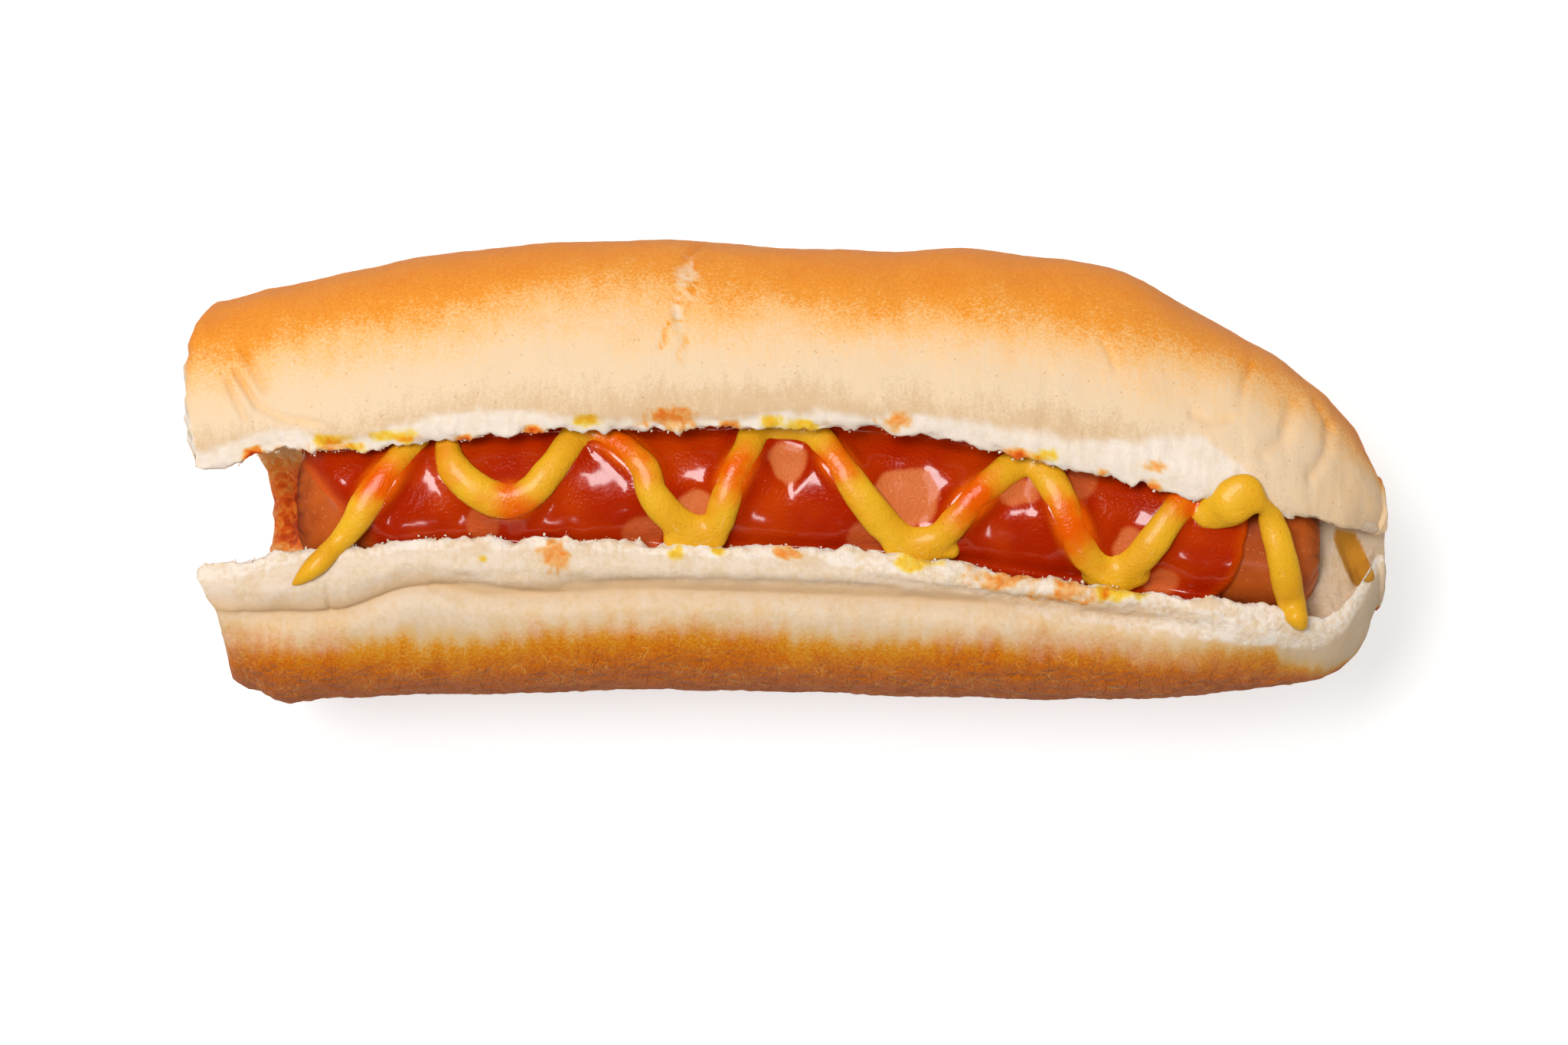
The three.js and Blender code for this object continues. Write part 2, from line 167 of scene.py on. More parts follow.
class Noise:
    """Seeded gradient noise over points in millimetres."""

    def __init__(self, seed: int) -> None:
        """Draw the permutation and the gradients.

        Args:
            seed: The number that fixes them.
        """
        rng = np.random.default_rng(seed)
        self._order = np.tile(rng.permutation(256), 3)
        gradients = rng.normal(size=(256, 3))
        self._gradients = gradients / np.linalg.norm(gradients, axis=1, keepdims=True)

    def __call__(self, points: Array, wavelength: float, stretch: Triple = EVEN) -> Array:
        """Read one octave.

        Args:
            points: The places to look up, with x, y and z in the last axis.
            wavelength: The size of its bumps in millimetres.
            stretch: How much longer than wavelength the bumps are along each axis.

        Returns:
            A value for each point, mostly between -1 and 1.
        """
        scaled = points / (wavelength * np.array(stretch)) + 1000.0
        cell = np.floor(scaled).astype(int)
        within = scaled - cell
        fade = within**3 * (within * (within * 6.0 - 15.0) + 10.0)
        total = np.zeros(points.shape[:-1])
        for corner in np.ndindex(2, 2, 2):
            step = np.array(corner)
            i, j, k = np.moveaxis((cell + step) & 255, -1, 0)
            gradient = self._gradients[self._order[self._order[self._order[i] + j] + k]]
            weight = np.prod(np.where(step == 1, fade, 1.0 - fade), axis=-1)
            total += weight * np.sum(gradient * (within - step), axis=-1)
        return 1.8 * total

    def mixed(self, points: Array, octaves: Octaves) -> Array:
        """Add the octaves of a list at each point."""
        return sum(octave.strength * self(points, octave.wavelength, octave.stretch) for octave in octaves)

    def layered(self, points: Array, wavelength: float, layers: int = 3, keep: float = 0.5) -> Array:
        """Add octaves, each half as long as the last.

        Args:
            points: The places to look up.
            wavelength: The size of the first octave's bumps in millimetres.
            layers: How many octaves there are.
            keep: How strong each is, as a share of the last.

        Returns:
            A value for each point.
        """
        return self.mixed(points, tuple(Octave(keep**n, wavelength * 0.5**n) for n in range(layers)))


# ---------------------------------------------------------------- meshes


def make_mesh(name: str, points: Array, faces: Array) -> bpy.types.Object:
    """Make a smooth-shaded object.

    Args:
        name: The object's name.
        points: Its vertices in millimetres.
        faces: Its quads or triangles, as rows of vertex numbers.

    Returns:
        The object, linked to the scene.
    """
    mesh = bpy.data.meshes.new(name)
    corners = faces.shape[1]
    mesh.vertices.add(len(points))
    mesh.vertices.foreach_set("co", (points * MM).astype(np.float32).ravel())
    mesh.loops.add(faces.size)
    mesh.loops.foreach_set("vertex_index", faces.astype(np.int32).ravel())
    mesh.polygons.add(len(faces))
    mesh.polygons.foreach_set("loop_start", np.arange(0, faces.size, corners, dtype=np.int32))
    mesh.polygons.foreach_set("use_smooth", np.ones(len(faces), bool))
    mesh.update(calc_edges=True)
    mesh.validate()
    made = bpy.data.objects.new(name, mesh)
    bpy.context.scene.collection.objects.link(made)
    return made


def add_attribute(made: bpy.types.Object, name: str, values: Array) -> None:
    """Give each vertex of an object a number that its finish reads."""
    attribute = made.data.attributes.new(name, "FLOAT", "POINT")
    attribute.data.foreach_set("value", np.asarray(values, np.float32).ravel())


def grid_faces(rows: int, columns: int, closed: bool) -> Array:
    """Number the quads of a grid.

    Args:
        rows: How many rings or lines of points it has.
        columns: How many points are in each.
        closed: Whether each row's last point joins its first.

    Returns:
        One row of four vertex numbers for each quad.
    """
    here = columns * np.arange(rows - 1)[:, None]
    after = here + columns
    c = np.arange(columns if closed else columns - 1)[None, :]
    n = (c + 1) % columns
    return np.stack([here + c, here + n, after + n, after + c], axis=-1).reshape(-1, 4)


def grid_normals(points: Array, closed: bool) -> Array:
    """Find the outward directions on a grid whose quads face outwards.

    Args:
        points: The grid's points.
        closed: Whether each row's last point joins its first.

    Returns:
        A unit vector for each point.
    """
    along = np.gradient(points, axis=0)
    if closed:
        around = np.roll(points, -1, axis=1) - np.roll(points, 1, axis=1)
    else:
        around = np.gradient(points, axis=1)
    normal = np.cross(around, along)
    return normal / np.maximum(np.linalg.norm(normal, axis=-1, keepdims=True), 1e-9)


class Volume:
    """A box of distances to a sauce's surface, turned into a mesh by surface nets."""

    EMPTY = 9.0

    def __init__(self, low: Triple, high: Triple, step: float) -> None:
        """Lay out an empty box.

        Args:
            low: Its lowest corner, in millimetres.
            high: Its highest corner.
            step: The size of a cell.
        """
        self.low = np.array(low, float)
        self.step = step
        self.shape = tuple(np.ceil((np.array(high) - self.low) / step).astype(int) + 1)
        self.distance = np.full(self.shape, self.EMPTY)

    def block(self, centre: Array, reach: float) -> tuple[tuple[slice, ...], Array]:
        """Find the cells round a point.

        Args:
            centre: The point, in millimetres.
            reach: How far the block extends from it.

        Returns:
            The block's place in the box, and the place of each of its cells.
        """
        size = np.array(self.shape)
        first = np.floor((centre - reach - self.low) / self.step).astype(int)
        last = np.ceil((centre + reach - self.low) / self.step).astype(int) + 1
        ends = list(zip(np.clip(first, 0, size - 1), np.clip(last, 1, size)))
        return tuple(slice(*pair) for pair in ends), self._places(ends)

    def points(self) -> Array:
        """Give the place of every cell."""
        return self._places([(0, n) for n in self.shape])

    def _places(self, ends: list[tuple[int, int]]) -> Array:
        """Give the places of the cells from a first to a last number on each axis."""
        axes = [low + self.step * np.arange(*pair) for low, pair in zip(self.low, ends)]
        return np.stack(np.meshgrid(*axes, indexing="ij"), axis=-1)

    def surface(self) -> tuple[Array, Array]:
        """Join the places where the distance changes sign.

        Returns:
            The vertices in millimetres, and the quads, facing outwards.
        """
        inside = self.distance < 0.0
        total, count = self._crossings(inside)
        used = count > 0
        number = np.full(used.shape, -1)
        number[used] = np.arange(used.sum())
        corner = np.stack(np.nonzero(used), axis=-1)
        vertices = self.low + self.step * (corner + total[used] / count[used][:, None])
        return vertices, self._quads(inside, number)

    def _crossings(self, inside: Array) -> tuple[Array, Array]:
        """Find where the surface crosses the edges of each cell.

        Args:
            inside: Which corners of the cells lie in the sauce.

        Returns:
            The sum of the crossings' places in each cell, as shares of the cell, and how many there are.
        """
        cells = tuple(n - 1 for n in self.shape)
        total, count = np.zeros(cells + (3,)), np.zeros(cells)
        for axis in range(3):
            for offset in np.ndindex(2, 2):
                start = list(offset)
                start.insert(axis, 0)
                place = np.array(start, float)
                near = tuple(slice(s, s + c) for s, c in zip(start, cells))
                start[axis] = 1
                far = tuple(slice(s, s + c) for s, c in zip(start, cells))
                a, b = self.distance[near], self.distance[far]
                crosses = inside[near] != inside[far]
                total += place * crosses[..., None]
                total[..., axis] += np.where(crosses, a / np.where(a == b, 1.0, a - b), 0.0)
                count += crosses
        return total, count

    def _quads(self, inside: Array, number: Array) -> Array:
        """Join the vertices of the four cells round each edge that the surface crosses.

        Args:
            inside: Which corners of the cells lie in the sauce.
            number: The number of each cell's vertex.

        Returns:
            One row of four vertex numbers for each quad.
        """
        quads = []
        for axis in range(3):
            b, c = (axis + 1) % 3, (axis + 2) % 3
            low = tuple(slice(0 if a == axis else 1, n - 1) for a, n in enumerate(self.shape))
            high = tuple(slice(1, n) if a == axis else slice(1, n - 1) for a, n in enumerate(self.shape))
            starts, ends = inside[low], inside[high]
            for rising in (True, False):
                hit = np.stack(np.nonzero(starts & ~ends if rising else ~starts & ends), axis=-1)
                hit += np.array([0 if a == axis else 1 for a in range(3)])
                ring = []
                for back_b, back_c in ((1, 1), (0, 1), (0, 0), (1, 0)):
                    cell = hit.copy()
                    cell[:, b] -= back_b
                    cell[:, c] -= back_c
                    ring.append(number[tuple(cell.T)])
                quads.append(np.stack(ring if rising else ring[::-1], axis=-1))
        return np.concatenate(quads)


# ---------------------------------------------------------------- finishes


def srgb(red: int, green: int, blue: int) -> Colour:
    """Turn a colour of 0 to 255 a channel into the linear one that shaders use."""
    shares = [channel / 255.0 for channel in (red, green, blue)]
    return tuple(s / 12.92 if s <= 0.04045 else ((s + 0.055) / 1.055) ** 2.4 for s in shares)


class Graph:
    """A builder for the nodes of one material."""

    def __init__(self, name: str) -> None:
        """Start a material with one Principled shader.

        Args:
            name: The material's name.
        """
        self.material = bpy.data.materials.new(name)
        self.material.use_nodes = True
        self._tree = self.material.node_tree
        self._tree.nodes.clear()
        self.shader = self._tree.nodes.new("ShaderNodeBsdfPrincipled")
        output = self._tree.nodes.new("ShaderNodeOutputMaterial")
        self._tree.links.new(self.shader.outputs[0], output.inputs["Surface"])
        self._place = self._tree.nodes.new("ShaderNodeTexCoord").outputs["Object"]

    def set(self, socket: Socket, value: object) -> None:
        """Feed a socket.

        Args:
            socket: The socket.
            value: Another socket, a number, a vector or a colour of three channels.
        """
        if isinstance(value, Socket):
            self._tree.links.new(value, socket)
        elif isinstance(value, tuple) and len(value) == 3 and socket.type == "RGBA":
            socket.default_value = (*value, 1.0)
        else:
            socket.default_value = value

    def surface(self, **values: object) -> None:
        """Set the shader's sockets by name, with _ for a space."""
        for name, value in values.items():
            self.set(self.shader.inputs[name.replace("_", " ")], value)

    def _wired(
        self, kind: str, feeds: dict[str | int, object], output: str | int = 0, **options: object
    ) -> Socket:
        """Add a node, set its options and feed its inputs.

        Args:
            kind: Its type.
            feeds: What each input gets, by the input's name or number.
            output: The output to read.
            options: Its other settings, by name.

        Returns:
            The output.
        """
        node = self._tree.nodes.new("ShaderNode" + kind)
        for name, value in options.items():
            setattr(node, name, value)
        for socket, value in feeds.items():
            self.set(node.inputs[socket], value)
        return node.outputs[output]

    def attribute(self, name: str) -> Socket:
        """Read a number stored on the vertices."""
        return self._wired("Attribute", {}, "Fac", attribute_name=name)

    def _mapped(self, size: float, stretch: Triple) -> Socket:
        """Scale the object's coordinates so that one unit is size millimetres, times the stretch."""
        scale = tuple(1.0 / (size * MM * s) for s in stretch)
        return self._wired("Mapping", {"Vector": self._place, "Scale": scale})

    def noise(self, size: float, detail: float = 2.0, stretch: Triple = EVEN, warp: float = 0.0) -> Socket:
        """Make soft noise with bumps of about size millimetres, longer along stretched axes."""
        feeds = {"Vector": self._mapped(size, stretch), "Scale": 1.0, "Detail": detail, "Distortion": warp}
        return self._wired("TexNoise", feeds, "Fac")

    def ripple(self, size: float, detail: float, stretch: Triple = EVEN, warp: float = 0.0) -> Socket:
        """Make soft noise, as noise does, but with its middle at 0."""
        return self.minus(self.noise(size, detail, stretch, warp), 0.5)

    def cells(self, size: float, stretch: Triple = EVEN, edges: bool = False, warp: float = 0.0) -> Socket:
        """Make a pattern of cells.

        Args:
            size: About how wide the cells are in millimetres.
            stretch: How many times longer they are along each axis.
            edges: Whether to measure from their edges, and not from their middles.
            warp: How far they are pushed about.

        Returns:
            The distance to the nearest edge or middle, in cells.
        """
        place = self._mapped(size, stretch)
        if warp:
            wander = self._wired("TexNoise", {"Vector": place, "Scale": 0.9}, "Color")
            place = self._wired("VectorMath", {0: wander, 1: (warp,) * 3, 2: place}, operation="MULTIPLY_ADD")
        feature = "DISTANCE_TO_EDGE" if edges else "F1"
        return self._wired("TexVoronoi", {"Vector": place, "Scale": 1.0}, "Distance", feature=feature)

    def plus(self, a: object, b: object) -> Socket:
        """Add two numbers."""
        return self._wired("Math", {0: a, 1: b}, operation="ADD")

    def minus(self, a: object, b: object) -> Socket:
        """Take b from a."""
        return self._wired("Math", {0: a, 1: b}, operation="SUBTRACT")

    def times(self, a: object, b: object) -> Socket:
        """Multiply two numbers."""
        return self._wired("Math", {0: a, 1: b}, operation="MULTIPLY")

    def larger(self, a: object, b: object) -> Socket:
        """Take the larger of two numbers."""
        return self._wired("Math", {0: a, 1: b}, operation="MAXIMUM")

    def span(self, value: object, low: float, high: float, out: tuple[float, float] = (0.0, 1.0)) -> Socket:
        """Map the range low to high onto out, smoothly and without going past it."""
        feeds = {"Value": value, "From Min": low, "From Max": high, "To Min": out[0], "To Max": out[1]}
        return self._wired("MapRange", feeds, interpolation_type="SMOOTHSTEP")

    def ramp(self, value: object, stops: Stops) -> Socket:
        """Look a number up in a row of colours.

        Args:
            value: The number.
            stops: The places of the colours, from 0 to 1, and the colours.

        Returns:
            The colour.
        """
        node = self._tree.nodes.new("ShaderNodeValToRGB")
        while len(node.color_ramp.elements) < len(stops):
            node.color_ramp.elements.new(0.5)
        for element, (position, colour) in zip(node.color_ramp.elements, stops):
            element.position = position
            element.color = (*colour, 1.0)
        self.set(node.inputs[0], value)
        return node.outputs[0]

    def mix(self, a: object, b: object, share: object, how: str = "MIX") -> Socket:
        """Blend colour b over colour a by share."""
        return self._wired("Mix", {"Factor": share, 6: a, 7: b}, 2, data_type="RGBA", blend_type=how)

    def bump(self, height: object, depth: float, strength: object = 1.0, over: object = None) -> Socket:
        """Tilt the surface as if height stood depth millimetres high, on top of the tilt in over."""
        feeds = {"Height": height, "Strength": strength, "Distance": depth * MM}
        return self._wired("Bump", feeds if over is None else feeds | {"Normal": over})


@dataclass(frozen=True)
class BreadFinish:
    """Baked crust over white crumb, driven by how far each point of the bun is baked or torn."""

    # The dome's first stop, darker than the next, is painted shade where the dome turns down to its lip.
    dome: Stops = (
        (0.0, srgb(200, 168, 130)),
        (0.13, srgb(216, 190, 157)),
        (0.27, srgb(222, 186, 143)),
        (0.5, srgb(226, 171, 104)),
        (0.75, srgb(222, 140, 42)),
        (1.0, srgb(216, 124, 28)),
    )
    base: Stops = (
        (0.0, srgb(198, 174, 144)),
        (0.3, srgb(202, 160, 100)),
        (0.55, srgb(200, 130, 22)),
        (0.8, srgb(190, 98, 0)),
        (1.0, srgb(176, 86, 6)),
    )
    ketchup_tints: Stops = (
        (0.0, (1.0, 1.0, 1.0)),
        (0.13, (0.99, 0.68, 0.33)),
        (0.3, (0.98, 0.37, 0.06)),
        (0.5, (0.92, 0.16, 0.01)),
        (0.75, (0.5, 0.042, 0.002)),
        (1.0, (0.26, 0.012, 0.001)),
    )
    mustard_tints: Stops = (
        (0.0, (1.0, 1.0, 1.0)),
        (0.3, (1.0, 0.9, 0.42)),
        (0.6, (1.0, 0.79, 0.14)),
        (1.0, (1.0, 0.68, 0.05)),
    )
    crumb: Colour = srgb(222, 208, 193)
    crumb_shade: Colour = srgb(210, 186, 155)
    # Painted shade: the darker crumb colour laid where shade falls in the split, under the roll and under the
    # dome's right lip.
    shaded_crumb: Colour = srgb(204, 166, 122)
    pit: Colour = srgb(188, 128, 38)
    flake: Colour = srgb(216, 160, 74)
    dimple: Colour = srgb(150, 72, 16)
    speck: Colour = srgb(176, 106, 44)
    crust_roughness: float = 0.52
    crumb_roughness: float = 0.8
    wet_gloss: float = 0.3
    grain_depth: float = 0.1
    pore_depth: float = 0.22
    fibre_depth: float = 0.13
    plate_depth: float = 0.22
    radii: Triple = (1.0, 0.62, 0.36)
    sheen_tint: Colour = (1.0, 0.86, 0.8)

    def make(self, name: str) -> bpy.types.Material:
        """Build the material.

        Args:
            name: Its name.

        Returns:
            The material.
        """
        g = Graph(name)
        crumb, net, baked, torn = (g.attribute(a) for a in ("crumb", "net", "bake", "torn"))
        grain, streak = g.ripple(0.38, 3.0), g.ripple(0.8, 3.0, (1.0, 3.6, 3.6), warp=0.5)
        scales, flaking, plates = self._flakes(g, net)
        crust = self._crust(g, baked, grain, streak)
        crust = g.mix(crust, self.dimple, g.times(scales, 0.45))
        crust = g.mix(crust, self.flake, g.times(flaking, 0.42))
        shade = g.plus(g.times(g.noise(0.8, 3.0), 0.5), g.times(g.noise(3.4, 2.0), 0.5))
        shade = g.span(g.plus(shade, g.times(streak, 0.12)), 0.4, 0.64)
        shade = g.times(shade, g.span(torn, 0.0, 1.0, (1.0, 0.35)))
        colour = g.mix(crust, g.mix(self.crumb, self.crumb_shade, shade), crumb)
        # Painted shade mixed into the crumb where the split, the roll and the dome's right lip would shade
        # it.
        colour = g.mix(colour, self.shaded_crumb, g.attribute("painted_shade"))
        colour, wet = self._stained(g, g.mix(colour, self.pit, g.attribute("pit")))
        dull = g.span(crumb, 0.0, 1.0, (self.crust_roughness, self.crumb_roughness))
        soft = g.times(g.span(crumb, 0.0, 1.0, (0.05, 0.25)), g.span(wet, 0.3, 0.0))
        g.surface(Base_Color=colour, Roughness=g.minus(dull, g.times(wet, self.wet_gloss)), IOR=1.3)
        g.surface(Specular_IOR_Level=0.2, Sheen_Weight=0.1, Sheen_Roughness=0.45, Sheen_Tint=self.sheen_tint)
        g.surface(Subsurface_Weight=soft, Subsurface_Scale=1.2 * MM, Subsurface_Radius=self.radii)
        pebbles = g.bump(grain, self.grain_depth, g.span(crumb, 1.0, 0.0, (0.0, 0.6)))
        porous = g.times(crumb, g.span(torn, 0.0, 1.0, (1.0, 0.45)))
        pores = g.bump(g.noise(0.6, 4.0), self.pore_depth, porous, pebbles)
        fibres = g.bump(streak, self.fibre_depth, g.span(baked, 0.7, 0.1, (0.0, 0.6)), pores)
        lifted = g.minus(g.times(plates, 0.8), scales)
        g.surface(Normal=g.bump(lifted, self.plate_depth, g.times(net, 0.8), fibres))
        return g.material

    def _crust(self, g: Graph, baked: Socket, grain: Socket, streak: Socket) -> Socket:
        """Brown the crust unevenly, with a few dark specks.

        Args:
            g: The material being built.
            baked: How far the crust is baked.
            grain: Fine noise.
            streak: Noise drawn out down the sides.

        Returns:
            The crust's colour.
        """
        bake = g.plus(baked, g.times(g.ripple(4.5, 3.0), g.span(baked, 0.0, 0.5, (0.12, 0.24))))
        bake = g.plus(bake, g.times(grain, g.span(baked, 0.0, 0.7, (0.2, 0.8))))
        bake = g.plus(bake, g.times(streak, g.span(baked, 0.0, 0.5, (0.18, 0.12))))
        crust = g.mix(g.ramp(bake, self.dome), g.ramp(bake, self.base), g.attribute("base"))
        return g.mix(crust, self.speck, g.times(g.span(g.cells(1.7), 0.11, 0.05), 0.45))

    def _stained(self, g: Graph, colour: Socket) -> tuple[Socket, Socket]:
        """Soak sauce into the bread.

        Args:
            g: The material being built.
            colour: The bread's colour.

        Returns:
            The stained colour, and how wet the bread is.
        """
        blots = g.plus(g.span(g.noise(1.1, 4.0, warp=0.6), 0.3, 0.66, (-0.4, 0.25)), 1.0)
        mustard, ketchup = (g.times(g.attribute(a), blots) for a in ("mustard", "ketchup"))
        colour = g.mix(colour, g.ramp(mustard, self.mustard_tints), 1.0, "MULTIPLY")
        return g.mix(colour, g.ramp(ketchup, self.ketchup_tints), 1.0, "MULTIPLY"), g.larger(mustard, ketchup)

    def _flakes(self, g: Graph, net: Socket) -> tuple[Socket, Socket, Socket]:
        """Crack the browned base into plates.

        Args:
            g: The material being built.
            net: How far the crust is cracked.

        Returns:
            The dimples of the finest scales, the pale lifted edges of the plates, and the plates' height.
        """
        fine = g.cells(1.5, (1.9, 1.0, 1.0), warp=0.5)
        scales = g.times(g.span(fine, 0.5, 0.15), g.span(net, 0.55, 1.0))
        edge = g.cells(2.8, (0.8, 1.5, 1.5), edges=True, warp=1.3)
        small = g.cells(1.2, (0.9, 1.3, 1.3), edges=True, warp=1.1)
        small_rims = g.times(g.span(small, 0.04, 0.01), g.span(net, 0.4, 0.9))
        rims = g.larger(g.span(edge, 0.03, 0.005), small_rims)
        shown = g.times(g.span(g.noise(3.0, 2.0), 0.47, 0.6), g.span(net, 0.02, 0.4))
        plates = g.times(g.span(edge, 0.0, 0.09), g.span(small, 0.0, 0.14, (0.5, 1.0)))
        return scales, g.times(rims, shown), plates


@dataclass(frozen=True)
class SkinFinish:
    """The moist, finely specked skin of the sausage."""

    skin: Colour = srgb(184, 86, 28)
    deep: Colour = srgb(150, 58, 14)
    pale: Colour = srgb(210, 132, 84)
    tip: Colour = srgb(98, 38, 26)
    radii: Triple = (1.0, 0.35, 0.18)

    def make(self, name: str) -> bpy.types.Material:
        """Build the material.

        Args:
            name: Its name.

        Returns:
            The material.
        """
        g = Graph(name)
        colour = g.mix(self.skin, self.deep, g.span(g.noise(7.0, 3.0), 0.4, 0.75))
        colour = g.mix(colour, self.pale, g.times(g.span(g.cells(0.9), 0.22, 0.1), 0.45))
        colour = g.mix(colour, self.tip, g.attribute("tip"))
        g.surface(Base_Color=colour, Roughness=0.34, IOR=1.38, Specular_IOR_Level=0.3)
        g.surface(Coat_Weight=0.14, Coat_Roughness=0.2)
        g.surface(Subsurface_Weight=0.18, Subsurface_Scale=1.4 * MM, Subsurface_Radius=self.radii)
        g.surface(Normal=g.bump(g.noise(1.1, 3.0), 0.06, 0.7))
        return g.material


@dataclass(frozen=True)
class SauceFinish:
    """A glossy sauce whose colour runs from the skin under it, through thin and glazed, to full."""

    bare: Colour
    thin: Colour
    full: Colour
    glaze: Colour
    roughness: float
    glazed_roughness: float
    grain: float
    ripple: float
    speck: Colour
    specks: float
    subsurface: float
    specular: float
    coat: float
    coat_roughness: float
    bare_speck: Colour = srgb(226, 160, 120)
    bare_specks: float = 0.3
    bare_roughness: float = 0.25
    bare_coat: float = 0.12
    radii: Triple = (1.0, 0.3, 0.1)

    def make(self, name: str) -> bpy.types.Material:
        """Build the material.

        Args:
            name: Its name.

        Returns:
            The material.
        """
        g = Graph(name)
        bare, glaze = g.attribute("bare"), g.attribute("glaze")
        colour = g.mix(g.mix(self.thin, self.full, g.attribute("thick")), self.glaze, glaze)
        colour = g.mix(colour, self.speck, g.times(g.span(g.cells(0.9), 0.16, 0.07), self.specks))
        colour = g.mix(colour, self.bare, bare)
        dots = g.times(g.span(g.cells(0.8), 0.2, 0.1), g.times(bare, self.bare_specks))
        colour = g.mix(colour, self.bare_speck, dots)
        rough = g.span(glaze, 0.0, 1.0, (self.roughness, self.glazed_roughness))
        rough = g.plus(rough, g.times(bare, self.bare_roughness))
        coat = g.span(bare, 0.0, 1.0, (self.coat, self.bare_coat))
        g.surface(Base_Color=colour, Roughness=rough, IOR=1.36, Specular_IOR_Level=self.specular)
        g.surface(Coat_Weight=coat, Coat_Roughness=self.coat_roughness)
        g.surface(Subsurface_Weight=self.subsurface, Subsurface_Scale=1.0 * MM, Subsurface_Radius=self.radii)
        fine = g.bump(g.noise(0.42, 2.0), self.grain, 1.0)
        g.surface(Normal=g.bump(g.noise(2.2, 2.0), self.ripple, 0.6, fine))
        return g.material


class Sauce(Enum):
    """The two sauces, each with its finish."""

    KETCHUP = SauceFinish(
        bare=srgb(196, 102, 52),
        thin=srgb(200, 70, 0),
        full=srgb(160, 31, 0),
        glaze=srgb(212, 86, 0),
        roughness=0.1,
        glazed_roughness=0.1,
        grain=0.16,
        ripple=0.2,
        speck=srgb(150, 12, 0),
        specks=0.25,
        subsurface=0.08,
        specular=0.15,
        coat=0.9,
        coat_roughness=0.12,
    )
    MUSTARD = SauceFinish(
        bare=srgb(186, 96, 52),
        thin=srgb(222, 170, 30),
        full=srgb(210, 147, 20),
        glaze=srgb(212, 82, 0),
        roughness=0.47,
        glazed_roughness=0.16,
        grain=0.12,
        ripple=0.22,
        speck=srgb(150, 84, 8),
        specks=0.5,
        subsurface=0.1,
        specular=0.32,
        coat=0.22,
        coat_roughness=0.14,
    )


# ---------------------------------------------------------------- the forms


